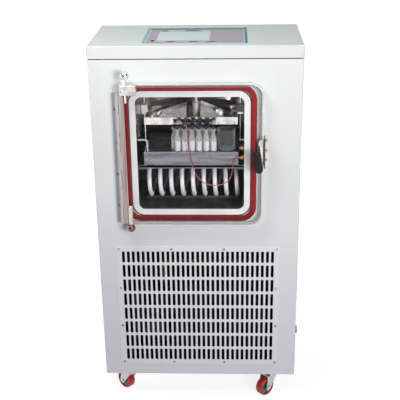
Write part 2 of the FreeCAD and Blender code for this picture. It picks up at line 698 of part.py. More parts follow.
def chamber_box():
    """Welded stainless chamber: deep box, grooved flange, gland for the ram, rail for the coil."""
    w = CHAMBER_WALL
    rim = SEAL_IN + GASKET_W + FLANGE_RIM
    flange = opening(rim, rim, rim - SEAL_IN + SEAL_R, FLANGE_Y, FLANGE_Y + FLANGE_T)
    shell = opening(w, w, w, FLANGE_Y + FLANGE_T / 2, CHAMBER_BACK + w)
    gland = rod(GLAND_R, V(SPINDLE_X, PRESS_Y, CEILING + w / 2), Z, INSULATION_T + w / 2)
    hollow = opening(0, 0, 0, FLANGE_Y - 1, CHAMBER_BACK)
    groove = seal_ring(0, FLANGE_Y - 1, FLANGE_Y + GROOVE_D)
    gland_bore = rod(RAM_R + GUIDE_CLEAR, V(SPINDLE_X, PRESS_Y, CEILING - 5), Z, INSULATION_T + 20)
    body = cut(fuse([flange, shell, gland]), [hollow, groove, gland_bore] + wall_holes(PORT_FIT))
    return fuse([body, coil_rail()])


def chamber_insulation():
    w = CHAMBER_WALL + FOAM_FIT
    t = CHAMBER_WALL + INSULATION_T
    block = opening(t, t, t, FLANGE_Y + FLANGE_T + FOAM_GAP, INSULATION_BACK)
    hollow = opening(w, w, w, FLANGE_Y, CHAMBER_BACK + w)
    gland = rod(GLAND_R + FOAM_FIT, V(SPINDLE_X, PRESS_Y, CEILING), Z, INSULATION_T + 20)
    return cut(block, [hollow, gland] + wall_holes(PORT_FIT))


def door_gasket():
    """Silicone ring: it sits in the flange's groove and stands in front of it."""
    ring = seal_ring(GROOVE_FIT, GASKET_FACE, GASKET_FACE + GASKET_T)
    return fillet(ring, GASKET_EDGE_R, lambda e: e.CenterOfMass.y < GASKET_FACE + 0.1)


def shelf_rails():
    """One folded rail on each side wall, with a ledge for each shelf."""
    rails = []
    for side, wall in ((1, WALL_L), (-1, WALL_R)):
        web = sorted((wall, wall + side * RAIL_T))
        ledge = sorted((wall, wall + side * RAIL_W))
        low = DRIP_Z - RAIL_T
        high = SHELF_TOP - SHELF_H
        rails.append(fuse([box(web[0], web[1], SHELF_FRONT, SHELF_BACK, low, high),
                           box(ledge[0], ledge[1], SHELF_FRONT, SHELF_BACK, low, DRIP_Z),
                           box(ledge[0], ledge[1], SHELF_FRONT, SHELF_BACK, high - RAIL_T, high)]))
    return rails


def shelf_box():
    """The heated shelf: a plate with a skirt folded down all round."""
    x0 = CHAMBER_X + SHELF_L
    x1 = CHAMBER_X + SHELF_R
    t = SHELF_SHEET
    low = SHELF_TOP - SHELF_H
    outer = box(x0, x1, SHELF_FRONT, SHELF_BACK, low, SHELF_TOP)
    outer = fillet(outer, 1.5, lambda e: along(e, X) and e.CenterOfMass.z > SHELF_TOP - 0.1)
    inner = box(x0 + t, x1 - t, SHELF_FRONT + t, SHELF_BACK - t, low - 1, SHELF_TOP - t)
    holes = [rod(1.8, V(x0 + 17, SHELF_FRONT - 1, SHELF_TOP - drop), Y, t + 2) for drop in (8, 26)]
    return cut(outer, [inner] + holes)


def lower_shelf():
    side = RAIL_T + 0.5
    return box(WALL_L + side, WALL_R - side, SHELF_FRONT + 2, SHELF_BACK, DRIP_Z, DRIP_Z + DRIP_T)


def vial_places():
    """Close-packed rows, each nested in the one before it."""
    places = []
    for row, (first, count) in enumerate(VIAL_ROWS):
        y = VIAL_Y0 + row * VIAL_PITCH * math.sqrt(3) / 2
        places += [V(VIAL_X0 + (first + k) * VIAL_PITCH, y, SHELF_TOP) for k in range(count)]
    return places


def vial(place):
    r = VIAL_R
    w = VIAL_WALL
    h = VIAL_H
    neck = VIAL_NECK_R
    profile = [(0, 0), (r - 1, 0), (r, 1), (r, 0.55 * h), (r - 1.5, 0.62 * h), (neck + 1, 0.7 * h),
               (neck, 0.74 * h), (neck, 0.9 * h), (neck + 2.5, 0.93 * h), (neck + 2.5, h),
               (neck - w, h), (neck - w, 0.73 * h), (neck - w + 1, 0.69 * h), (r - w - 1.5, 0.61 * h),
               (r - w, 0.54 * h), (r - w, 2.5), (0, 2.5)]
    return turned(profile, place)


def stopper(place):
    """Rubber stopper, still part way out of the neck."""
    cap_r = VIAL_NECK_R + 2.3
    plug_r = VIAL_NECK_R - VIAL_WALL - STOPPER_CLEAR
    base = VIAL_H + STOPPER_LIFT
    profile = [(0, base - STOPPER_PLUG), (plug_r - 0.5, base - STOPPER_PLUG),
               (plug_r, base - STOPPER_PLUG + 1), (plug_r, base), (cap_r, base),
               (cap_r, base + STOPPER_CAP - 0.6),
               (cap_r - 0.6, base + STOPPER_CAP), (0, base + STOPPER_CAP)]
    return turned(profile, place)


def glass_jar():
    r = JAR_R
    h = JAR_H
    w = 1.6
    profile = [(0, 0), (r - 3, 0), (r, 3), (r, h - 2), (r + 0.8, h), (r - w, h), (r - w, 3.5),
               (r - w - 1.5, 2), (0, 2)]
    return turned(profile, V(JAR_X, JAR_Y, SHELF_TOP))


# ---------------------------------------------------------------- stoppering press
def press_plate():
    """Welded tray, stiffened by a pyramid that is notched for the spindle, with ears for the guides."""
    x0 = CHAMBER_X + SHELF_L - PRESS_LAP
    x1 = CHAMBER_X + SHELF_R - PRESS_LAP
    w = PRESS_WALL
    top = PRESS_BOTTOM + PRESS_T
    floor = PRESS_BOTTOM + PRESS_FLOOR
    slab = box(x0, x1, PRESS_FRONT, PRESS_BACK, PRESS_BOTTOM, top)
    slab = fillet(slab, 1.0, lambda e: along(e, X))
    tray = slab.cut(box(x0 + w, x1 - w, PRESS_FRONT + w, PRESS_BACK - w, floor, top + 1))
    left, right = x0 + PRESS_INSET, x1 - PRESS_INSET
    front, back = PRESS_FRONT + PRESS_INSET, PRESS_BACK - PRESS_INSET
    base = [V(left, front, floor), V(right, front, floor), V(right, back, floor), V(left, back, floor)]
    crown = [V(SPINDLE_X + a * CROWN, PRESS_Y + b * CROWN, floor + PRESS_RISE)
             for a, b in ((-1, -1), (1, -1), (1, 1), (-1, 1))]
    outlines = [Part.makePolygon(corners + corners[:1]) for corners in (base, crown)]
    notch = box(SPINDLE_X + NOTCH[0], SPINDLE_X + NOTCH[1], PRESS_FRONT, PRESS_BACK,
                floor, floor + PRESS_RISE + 1)
    pyramid = Part.makeLoft(outlines, True, True).cut(notch)
    first, last = guide_places()
    ears = [box(first - EAR_OUT, x0 + 20, PRESS_Y - 12, PRESS_Y + 12, top - 6, top),
            box(x1 - 20, last + EAR_OUT, PRESS_Y - 12, PRESS_Y + 12, top - 6, top)]
    bores = [rod(GUIDE_R + 1.0, V(x, PRESS_Y, top - 10), Z, 20) for x in guide_places()]
    return cut(fuse([tray, pyramid] + ears), bores)


def guide_places():
    return (WALL_L + GUIDE_IN, WALL_R - GUIDE_IN)


def guide_rods():
    rods = []
    for x in guide_places():
        bar = rod(GUIDE_R, V(x, PRESS_Y, SHELF_TOP - SHELF_H), Z, CEILING - SHELF_TOP + SHELF_H)
        rods.append(bar.common(opening(0, 0, 0, FLANGE_Y, CHAMBER_BACK)))
    return rods


def guide_blocks():
    """White nylon bushes on the plate's ears: they slide on the rods."""
    blocks = []
    half = GUIDE_BLOCK / 2
    low = PRESS_BOTTOM + PRESS_T
    for x in guide_places():
        block = box(x - half, x + half, PRESS_Y - 12, PRESS_Y + 12, low, low + GUIDE_BLOCK_H)
        block = fillet(block, 2.0, lambda e: along(e, Z))
        blocks.append(block.cut(rod(GUIDE_R + GUIDE_CLEAR, V(x, PRESS_Y, low - 1), Z, GUIDE_BLOCK_H + 2)))
    return blocks


def press_spindle():
    """Two coupling nuts on the tray's floor, and the ram up through the gland into the drive."""
    r = SPINDLE_R
    base = PRESS_BOTTOM + PRESS_FLOOR
    joint = base + NUT_LOW_H
    top = joint + NUT_HIGH_H
    profile = [(0, base), (r, base), (r, joint - 1), (r - 1.5, joint - 0.5), (r - 1.5, joint + 0.5),
               (r, joint + 1), (r, top - 2), (r - 2, top), (RAM_R, top + 2), (RAM_R, RAM_TOP), (0, RAM_TOP)]
    return turned(profile, V(SPINDLE_X, PRESS_Y, 0))


def press_drive():
    """Linear drive on the chamber's gland, with its motor beside it."""
    low = CEILING + CHAMBER_WALL + INSULATION_T
    body = rod(DRIVE_R, V(SPINDLE_X, PRESS_Y, low), Z, DRIVE_TOP - low)
    motor = rod(DRIVE_R - 4, V(SPINDLE_X + 2 * DRIVE_R, PRESS_Y, low + 10), Z, DRIVE_TOP - low - 10)
    bridge = box(SPINDLE_X, SPINDLE_X + 2 * DRIVE_R, PRESS_Y - 14, PRESS_Y + 14,
                 DRIVE_TOP - 26, DRIVE_TOP - 2)
    bore = rod(RAM_R + GUIDE_CLEAR, V(SPINDLE_X, PRESS_Y, low - 1), Z, DRIVE_TOP - low - 4)
    return cut(fuse([body, motor, bridge]), [bore])


# ---------------------------------------------------------------- coil and chamber plumbing
def half_turn(a, b, side):
    """Half a turn of the coil from a to b, bulging to the given side of the coil."""
    middle = (a + b) * 0.5
    reach = (b - a).Length / 2
    return Part.Arc(a, middle + Y * (side * reach), b).toShape()


def condenser_coil():
    """One tube: half turns that lean a little in front and step sideways behind."""
    edges = []
    top_z = COIL_Z + COIL_R
    low_z = COIL_Z - COIL_R
    for turn in range(COIL_TURNS):
        x = COIL_X0 + turn * COIL_PITCH
        top = V(x - COIL_LEAN / 2, COIL_Y, top_z)
        low = V(x + COIL_LEAN / 2, COIL_Y, low_z)
        edges.append(half_turn(top, low, -1))
        if turn < COIL_TURNS - 1:
            edges.append(half_turn(low, V(top.x + COIL_PITCH, COIL_Y, top_z), 1))
    first = V(COIL_X0 - COIL_LEAN / 2, COIL_Y, top_z)
    last = V(COIL_X0 + (COIL_TURNS - 1) * COIL_PITCH + COIL_LEAN / 2, COIL_Y, low_z)
    tail_in = [V(first.x, CHAMBER_BACK, top_z), first]
    tail_out = [last, V(last.x, CHAMBER_BACK, low_z)]
    edges.insert(0, Part.LineSegment(*tail_in).toShape())
    edges.append(Part.LineSegment(*tail_out).toShape())
    ring = Part.Wire(Part.makeCircle(COIL_TUBE_R, tail_in[0], Y * -1))
    return Part.Wire(edges).makePipeShell([ring], True, False)


def coil_pipe_places():
    """Where the coil's two ends meet the back wall."""
    first = COIL_X0 - COIL_LEAN / 2
    last = COIL_X0 + (COIL_TURNS - 1) * COIL_PITCH + COIL_LEAN / 2
    return [(first, COIL_Z + COIL_R), (last, COIL_Z - COIL_R)]


def coil_rail():
    """Bar on the chamber floor that the turns rest on."""
    floor = CHAMBER_Z - OPEN_H / 2
    top = COIL_Z - COIL_R - COIL_TUBE_R - SEAT_GAP
    last = COIL_X0 + (COIL_TURNS - 1) * COIL_PITCH
    return box(COIL_X0 - 15, last + 12, COIL_Y - 5, COIL_Y + 5, floor, top)


def fluid_tubes():
    """Elbow from the left wall and short stub from the right wall."""
    left = bent_pipe([V(WALL_L, TUBE_Y, TUBE_Z), V(WALL_L + TUBE_RUN, TUBE_Y, TUBE_Z),
                      V(WALL_L + TUBE_RUN, TUBE_Y, SHELF_TOP)], TUBE_R, 2.5 * TUBE_R)
    right = rod(TUBE_R, V(WALL_R - TUBE_STUB, TUBE_Y, TUBE_Z), X, TUBE_STUB)
    return [left, right]


def brass_fittings():
    """Sensor glands on the right wall: hexagon, collar and nose, turned in one piece."""
    glands = []
    for y, z in ((GLAND_Y, GLAND_Z), (GLAND_Y, GLAND_Z - GLAND_STEP)):
        wall = V(WALL_R, y, z)
        collar = rod(6.0, wall - X * 4, X, 4)
        corners = [wall + Y * (7 * math.cos(k * math.pi / 3)) + Z * (7 * math.sin(k * math.pi / 3)) - X * 10
                   for k in range(7)]
        nut = Part.Face(Part.makePolygon(corners)).extrude(X * 6)
        nose = rod(3.5, wall - X * 15, X, 5)
        glands.append(fuse([collar, nut, nose]))
    return glands


def probe_wire():
    """Temperature lead: from the lower gland it hangs before the coil and rises to a vial."""
    return bent_pipe([V(*place) for place in PROBE_ROUTE], PROBE_R)


# ---------------------------------------------------------------- refrigeration set
def compressor():
    """Hermetic shell: drawn cup and lid, foot plate, terminal cover and two stubs."""
    r = COMP_R
    low = FLOOR_IN + COMP_FOOT
    base = plate(COMP_BASE, COMP_BASE - 60, 20.0, 4.0, V(COMP_X, COMP_Y, low), Z)
    profile = [(0, 4), (r - 10, 4), (r, 16), (r, 0.45 * COMP_H), (r + 3, 0.46 * COMP_H),
               (r + 3, 0.52 * COMP_H), (r, 0.53 * COMP_H), (r, COMP_H - 40), (r - 8, COMP_H - 16),
               (r - 30, COMP_H - 3), (0, COMP_H)]
    shell = turned(profile, V(COMP_X, COMP_Y, low))
    cover = box(COMP_X - 26, COMP_X + 26, COMP_Y - r - 26, COMP_Y - r + 12, low + 90, low + 150)
    stubs = [rod(PIPE_R + 1.2, V(x, y, low + COMP_H - 30), Z, 50) for x, y in compressor_stub_places()]
    holes = [rod(5.0, V(x, y, low - 1), Z, 8) for x, y in compressor_foot_places()]
    bores = [rod(PIPE_R + 0.05, V(x, y, low + COMP_H + 5), Z, 50) for x, y in compressor_stub_places()]
    return cut(fuse([base, shell, cover] + stubs), holes + bores)


def compressor_stub_places():
    return [(COMP_X - 34, COMP_Y + 20), (COMP_X + 34, COMP_Y + 20)]


def compressor_foot_places():
    half_w = COMP_BASE / 2 - 16
    half_d = (COMP_BASE - 60) / 2 - 16
    return [(COMP_X + a * half_w, COMP_Y + b * half_d) for a in (-1, 1) for b in (-1, 1)]


def compressor_feet():
    """Rubber grommets: a pad under the foot plate and a neck through its hole."""
    top = COMP_FOOT + 8
    profile = [(0, 0), (13, 0), (13, COMP_FOOT), (4.9, COMP_FOOT), (4.9, top), (0, top)]
    return [turned(profile, V(x, y, FLOOR_IN)) for x, y in compressor_foot_places()]


def fan_centre():
    return V(FIN_X, FIN_Y + FIN_T, FLOOR_IN + FIN_FOOT + FIN_H / 2)


def heat_exchanger():
    """Finned block with its side plates standing on the pan, and the bends of its tubes."""
    x0 = FIN_X - FIN_W / 2
    x1 = FIN_X + FIN_W / 2
    low = FLOOR_IN + FIN_FOOT
    high = low + FIN_H
    core = box(x0, x1, FIN_Y, FIN_Y + FIN_T, low, high)
    lefts = [x0 + 6 + k * FIN_PITCH for k in range(int((FIN_W - 12) / FIN_PITCH))]
    fins = [box(left, left + FIN_SPACE, FIN_Y - 1, FIN_Y + 8, low + 6, high - 6) for left in lefts]
    feet = [box(x, x + 3, FIN_Y, FIN_Y + FIN_T, FLOOR_IN, low) for x in (x0, x1 - 3)]
    bends = []
    for k in range(5):
        z = low + 30 + k * 60
        bend = Part.makeTorus(15, PIPE_R, V(x0, FIN_Y + FIN_T / 2, z), X.cross(Z), 0, 360)
        bend = bend.common(box(x0 - 40, x0 + 1, FIN_Y - 40, FIN_Y + FIN_T + 40, z - 40, z + 40))
        bends.append(bend)
    stubs = [rod(PIPE_R + 1.2, V(x1 - 1, FIN_Y + FIN_T / 2, z), X, 16) for z in condenser_stub_heights()]
    bores = [rod(PIPE_R + 0.05, V(x1 + 5, FIN_Y + FIN_T / 2, z), X, 20) for z in condenser_stub_heights()]
    return cut(fuse([cut(core, fins)] + feet + bends + stubs), bores)


def condenser_stub_heights():
    low = FLOOR_IN + FIN_FOOT
    return (low + 30, low + FIN_H - 30)


def fan_shroud():
    """Sheet ring behind the finned block, with three arms that carry the motor."""
    c = fan_centre()
    half = min(FIN_W, FIN_H) / 2 - 4
    wall = box(c.x - half, c.x + half, c.y, c.y + SHROUD_T, c.z - half, c.z + half)
    ring = pipe_ring(FAN_R + SHROUD_T, FAN_R, c, Y, SHROUD_D)
    mouth = rod(FAN_R, c - Y, Y, SHROUD_D + 4)
    seat = c.y + motor_front()
    arms = []
    for k in range(3):
        arm = box(MOTOR_R - 2, FAN_R + SHROUD_T, -6, 6, SHROUD_D - 4, SHROUD_D)
        arm.Placement = FreeCAD.Placement(V(c.x, c.y, c.z), FreeCAD.Rotation(X, -90))
        arm.rotate(c, Y, 90 + 120 * k)
        arms.append(arm)
    collar = pipe_ring(MOTOR_R + 3, MOTOR_R + 0.05, V(c.x, c.y + SHROUD_D - 4, c.z), Y, 14)
    body = fuse([wall.cut(mouth), ring] + arms)
    return fuse([body.cut(rod(MOTOR_R + 0.05, V(c.x, seat - 1, c.z), Y, 60)), collar])


def motor_front():
    """Fan motor's front face, behind the front of the shroud."""
    return FAN_GAP + 16 + MOTOR_GAP


def fan_motor():
    c = fan_centre()
    body = rod(MOTOR_R, V(c.x, c.y + motor_front(), c.z), Y, MOTOR_L)
    body = fillet(body, 5.0, lambda e: e.CenterOfMass.y > c.y + motor_front() + MOTOR_L - 1)
    shaft = rod(SHAFT_R, V(c.x, c.y + FAN_GAP + 2, c.z), Y, motor_front() - FAN_GAP)
    return fuse([body, shaft])


def fan_blades():
    """Hub with pitched blades, running on the motor's shaft."""
    c = fan_centre()
    hub = rod(HUB_R, V(c.x, c.y + FAN_GAP, c.z), Y, 16)
    blades = []
    for k in range(BLADES):
        blade = box(HUB_R - 4, FAN_R - FAN_TIP_GAP, -24, 24, -BLADE_T / 2, BLADE_T / 2)
        blade.rotate(V(0, 0, 0), X, 14)
        blade = blade.common(rod(FAN_R - FAN_TIP_GAP, V(0, 0, -20), Z, 40))
        seat = FreeCAD.Placement(V(c.x, c.y + FAN_GAP + 8, c.z), FreeCAD.Rotation(X, -90))
        blade.Placement = seat.multiply(blade.Placement)
        blade.rotate(c, Y, 360 / BLADES * k)
        blades.append(blade)
    bore = rod(SHAFT_R + PIN_CLEAR, V(c.x, c.y + FAN_GAP + 1.5, c.z), Y, 20)
    return fuse([hub] + blades).cut(bore)


def electrical_box():
    """Switchgear box, bolted to the rear rail of the frame."""
    y1 = CAB_D - 2 * SHEET
    body = box(BOX_X - BOX_W / 2, BOX_X + BOX_W / 2, y1 - FRAME_TUBE - BOX_D, y1 - FRAME_TUBE,
               BOX_Z - BOX_H / 2, BOX_Z + BOX_H / 2)
    body = fillet(body, 3.0, lambda e: along(e, Y))
    rail_low = INSULATION_LOW - BEARER_H - FRAME_TUBE
    tabs = [box(x - 10, x + 10, y1 - FRAME_TUBE - 3, y1 - FRAME_TUBE, BOX_Z, rail_low + 15)
            for x in (BOX_X - 70, BOX_X + 70)]
    return fuse([body] + tabs)


def refrigerant_pipes():
    """Copper lines: discharge, liquid and suction."""
    low = FLOOR_IN + COMP_FOOT + COMP_H
    (sx, sy), (dx, dy) = compressor_stub_places()
    x1 = FIN_X + FIN_W / 2
    yc = FIN_Y + FIN_T / 2
    z_low, z_high = condenser_stub_heights()
    back = INSULATION_BACK + SUCTION_OUT
    (ox, oz), (ix, iz) = coil_pipe_places()
    bend = PIPE_BEND
    discharge = bent_pipe([V(dx, dy, low + 6), V(dx, dy, z_high + 60), V(x1 + 45, dy, z_high + 60),
                           V(x1 + 45, yc, z_high + 60), V(x1 + 45, yc, z_high), V(x1 + 6, yc, z_high)],
                          PIPE_R, bend)
    liquid = bent_pipe([V(x1 + 6, yc, z_low), V(x1 + 45, yc, z_low), V(x1 + 45, LIQUID_Y, z_low),
                        V(x1 + 45, LIQUID_Y, LIQUID_Z), V(ix, LIQUID_Y, LIQUID_Z), V(ix, LIQUID_Y, iz),
                        V(ix, CHAMBER_BACK, iz)],
                       PIPE_R, bend)
    suction = bent_pipe([V(ox, CHAMBER_BACK, oz), V(ox, back, oz), V(ox, back, SUCTION_Z),
                         V(sx, back, SUCTION_Z), V(sx, sy, SUCTION_Z), V(sx, sy, low + 6)],
                        PIPE_R, bend)
    return [discharge, liquid, suction]


# ---------------------------------------------------------------- rear and side fittings
def vacuum_port():
    """Small-flange vacuum port: one tube from the chamber's back wall to the outside."""
    outer = PORT_BORE_R + PORT_WALL
    tube = rod(outer, V(PORT_X, CHAMBER_BACK, PORT_Z), Y, REAR_MOST - CHAMBER_BACK)
    flange = rod(PORT_FLANGE_R, V(PORT_X, REAR_MOST - 3, PORT_Z), Y, 3)
    cone = Part.makeCone(outer, PORT_FLANGE_R, 3, V(PORT_X, REAR_MOST - 6, PORT_Z), Y)
    bore = rod(PORT_BORE_R, V(PORT_X, CHAMBER_BACK - 1, PORT_Z), Y, REAR_MOST)
    return fuse([tube, flange, cone]).cut(bore)


def power_inlet():
    """Appliance inlet: flange outside, body through the panel, three flat pins."""
    half_w = INLET_W / 2 - 0.2
    half_h = INLET_H / 2 - 0.2
    flange = plate(INLET_W + 22, INLET_H + 8, 3.0, 3.0, V(INLET_X, CAB_D, INLET_Z), Y)
    body = box(INLET_X - half_w, INLET_X + half_w, CAB_D - 22, CAB_D, INLET_Z - half_h, INLET_Z + half_h)
    socket = box(INLET_X - half_w + 2, INLET_X + half_w - 2, CAB_D - 16, CAB_D + 4,
                 INLET_Z - half_h + 2, INLET_Z + half_h - 2)
    pins = [box(INLET_X + a - 1, INLET_X + a + 1, CAB_D - 17, CAB_D - 1, INLET_Z + b - 3, INLET_Z + b + 3)
            for a, b in ((-7, -3), (0, 3), (7, -3))]
    return fuse([cut(fuse([flange, body]), [socket])] + pins)


def drain_valve_body():
    """Release valve behind the side panel, on a plate that is fixed to the frame's upright."""
    x1 = HALF_W + DRAIN_OUT - KNOB_L - 0.5
    stem = rod(DRAIN_PIPE_R, V(x1 - 44, DRAIN_Y, DRAIN_Z), X, 44)
    body = box(x1 - 44, IN_X - 6, DRAIN_Y - 12, DRAIN_Y + 12, DRAIN_Z - 12, DRAIN_Z + 12)
    arm_y = 2 * SHEET + FRAME_TUBE
    arm = box(IN_X - 12, IN_X - 6, arm_y, DRAIN_Y, DRAIN_Z - 10, DRAIN_Z + 10)
    pin = rod(2.5, V(x1, DRAIN_Y, DRAIN_Z), X, KNOB_L - 1)
    return fuse([stem, body, arm, pin])


def drain_valve_knob():
    x1 = HALF_W + DRAIN_OUT - KNOB_L
    knob = rod(KNOB_R, V(x1, DRAIN_Y, DRAIN_Z), X, KNOB_L)
    knob = fillet(knob, 1.5, lambda e: e.CenterOfMass.x > x1 + KNOB_L - 0.1)
    flutes = [rod(2.0, V(x1 - 1, DRAIN_Y, DRAIN_Z) + Y * (KNOB_R + 1) * math.cos(k * math.pi / 5)
                  + Z * (KNOB_R + 1) * math.sin(k * math.pi / 5), X, KNOB_L + 2) for k in range(10)]
    bore = rod(2.5 + PIN_CLEAR, V(x1 - 1, DRAIN_Y, DRAIN_Z), X, KNOB_L)
    return cut(knob, flutes + [bore])


# ---------------------------------------------------------------- door and hinge
def door_plate():
    """Clear acrylic plate with eased front edges."""
    width = DOOR_LEFT + DOOR_RIGHT
    slab = plate(width, 2 * DOOR_UP, DOOR_R, DOOR_T,
                 V(CHAMBER_X + (DOOR_RIGHT - DOOR_LEFT) / 2, DOOR_FACE, CHAMBER_Z), Y)
    return fillet(slab, 1.5, lambda e: e.CenterOfMass.y < DOOR_FACE + 0.1)


def knuckle_spans():
    """Heights of the hinge's knuckles, from the bottom: fixed ones first, then in turn."""
    pitch = (LEAF_HIGH - LEAF_LOW) / KNUCKLES
    return [(LEAF_LOW + k * pitch + KNUCKLE_GAP / 2, LEAF_LOW + (k + 1) * pitch - KNUCKLE_GAP / 2)
            for k in range(KNUCKLES)]


def hinge_screw_places():
    pitch = (LEAF_HIGH - LEAF_LOW) / FOOT_SCREWS
    x = HINGE_X - BARREL_R + LEAF_T - FOOT_W / 2 - LEAF_T / 2
    return [(x, LEAF_LOW + (k + 0.5) * pitch) for k in range(FOOT_SCREWS)]


def hinge_leaf_fixed():
    """Cabinet half of the hinge: a foot on the panel, a web and every second knuckle."""
    left = HINGE_X - BARREL_R
    behind = HINGE_Y + BARREL_R + 1
    foot = box(left + LEAF_T - FOOT_W, left + LEAF_T, -LEAF_T, 0, LEAF_LOW, LEAF_HIGH)
    web = box(left, left + LEAF_T, behind, 0, LEAF_LOW, LEAF_HIGH)
    pieces = [foot, web]
    for low, high in knuckle_spans()[::2]:
        pieces.append(box(left, left + LEAF_T, HINGE_Y, behind + 1, low, high))
        pieces.append(rod(BARREL_R, V(HINGE_X, HINGE_Y, low), Z, high - low))
    bore = rod(PIN_R, V(HINGE_X, HINGE_Y, LEAF_LOW - 1), Z, LEAF_HIGH - LEAF_LOW + 2)
    holes = [rod(SCREW_R, V(x, -3 * LEAF_T, z), Y, 4 * LEAF_T) for x, z in hinge_screw_places()]
    return cut(fuse(pieces), [bore] + holes)


def hinge_leaf_door():
    """Door half of the hinge: the long brushed leaf on the door's face, and its knuckles."""
    front = DOOR_FACE - LEAF_T
    pieces = [box(HINGE_X + BARREL_R + KNUCKLE_GAP, HINGE_X + LEAF_W, front, DOOR_FACE, LEAF_LOW, LEAF_HIGH)]
    for low, high in knuckle_spans()[1::2]:
        pieces.append(box(HINGE_X, HINGE_X + BARREL_R + 1, front, DOOR_FACE, low, high))
        pieces.append(rod(BARREL_R, V(HINGE_X, HINGE_Y, low), Z, high - low))
    bore = rod(PIN_R + PIN_CLEAR, V(HINGE_X, HINGE_Y, LEAF_LOW - 1), Z, LEAF_HIGH - LEAF_LOW + 2)
    return fuse(pieces).cut(bore)


def hinge_rod():
    pin = rod(PIN_R, V(HINGE_X, HINGE_Y, LEAF_LOW - 2), Z, LEAF_HIGH - LEAF_LOW + 4)
    return fillet(pin, 1.0, lambda e: True)


def block_box(span, edge_z):
    x0, x1, z0, z1 = span
    left = CHAMBER_X - DOOR_LEFT
    return box(left + x0, left + x1, DOOR_FACE - HINGE_BLOCK_T, DOOR_FACE, edge_z + z0, edge_z + z1)


def hinge_blocks():
    """Blocks that clamp the door plate to its leaf; the ball pins go down through them."""
    axis_x = CHAMBER_X - DOOR_LEFT + BALL_PIN_IN
    bore = rod(BALL_ROD_R, V(axis_x, DOOR_FACE - BALL_PIN_OUT, CHAMBER_Z - 2 * DOOR_UP), Z, 4 * DOOR_UP)
    front = DOOR_FACE - HINGE_BLOCK_T
    blocks = [fillet(block_box(span, edge_z), 3.0, lambda e: e.CenterOfMass.y < front + 0.1)
              for span, edge_z in ((BLOCK_TOP, CHAMBER_Z + DOOR_UP), (BLOCK_LOW, CHAMBER_Z - DOOR_UP))]
    return [block.cut(bore) for block in blocks]


def ball_pins():
    """Pull pins with ball heads: the upper one points down, the lower one up."""
    pins = []
    axis_x = CHAMBER_X - DOOR_LEFT + BALL_PIN_IN
    for edge_z, ball_z, seat_z, end_z in ((CHAMBER_Z + DOOR_UP, BALL_TOP_UP, BLOCK_TOP[3], PIN_TOP_UP),
                                          (CHAMBER_Z - DOOR_UP, BALL_LOW_UP, BLOCK_LOW[2], PIN_LOW_UP)):
        centre = V(axis_x, DOOR_FACE - BALL_PIN_OUT, edge_z + ball_z)
        low = edge_z + min(ball_z, end_z)
        stem = rod(BALL_ROD_R, V(centre.x, centre.y, low), Z, abs(ball_z - end_z))
        neck = rod(BALL_NECK_R, V(centre.x, centre.y, edge_z + min(ball_z, seat_z)), Z, abs(ball_z - seat_z))
        pins.append(fuse([Part.makeSphere(BALL_R, centre), stem, neck]))
    return pins


# ---------------------------------------------------------------- latch
def latch_screw_places():
    x = LATCH_POST_X + LATCH_FOOT_W / 2 + 2
    return [(x, LATCH_Z + a * LATCH_H / 3) for a in (-1, 0, 1)]


def stem_place():
    """Axis of the grip's stem, on the door's face."""
    return V(STEM_X, DOOR_FACE, LATCH_Z - GRIP_DROP)


def latch_post():
    """Keep beside the door: a foot on the panel, and an upright web with a slot for the finger."""
    low = LATCH_Z - LATCH_H / 2
    foot = box(LATCH_POST_X, LATCH_POST_X + LATCH_FOOT_W, -LATCH_POST_T, 0, low, low + LATCH_H)
    web = box(LATCH_POST_X, LATCH_POST_X + LATCH_POST_T, POST_FRONT, 0, low, low + LATCH_H)
    web = fillet(web, 8.0, lambda e: along(e, X) and e.CenterOfMass.y < POST_FRONT + 0.1)
    stem = stem_place()
    drop = math.sqrt(FINGER_L ** 2 - (LATCH_POST_X - stem.x) ** 2) + FINGER_W / 2
    play = SLOT_PLAY
    slot_box = box(LATCH_POST_X - 1, LATCH_POST_X + LATCH_POST_T + 1, FINGER_FRONT - play,
                   FINGER_FRONT + FINGER_T + play, stem.z - drop - play, stem.z + FINGER_W / 2 + play)
    holes = [rod(SCREW_R, V(x, -3 * LATCH_POST_T, z), Y, 4 * LATCH_POST_T) for x, z in latch_screw_places()]
    return cut(fuse([foot, web]), holes + [slot_box])


def latch_rose():
    """D-shaped plate on the door's face with an eye and a bush, where the grip's stem turns."""
    stem = stem_place()
    right = CHAMBER_X + DOOR_RIGHT - ROSE_EDGE
    half = LATCH_H / 2 - ROSE_SHORT
    rose = box(right - ROSE_W, right, DOOR_FACE - ROSE_T, DOOR_FACE, LATCH_Z - half, LATCH_Z + half)
    rose = fillet(rose, ROSE_R, lambda e: along(e, Y) and e.CenterOfMass.x < right - 1)
    eye = rod(ROSE_EYE_R, V(stem.x, DOOR_FACE - ROSE_T, stem.z), Y, ROSE_T)
    bush = rod(STUD_R + 3, V(stem.x, DOOR_FACE - ROSE_T - 1, stem.z), Y, 1 + ROSE_T)
    return fuse([rose, eye, bush]).cut(rod(STUD_R + PIN_CLEAR, stem - Y * 20, Y, 30))


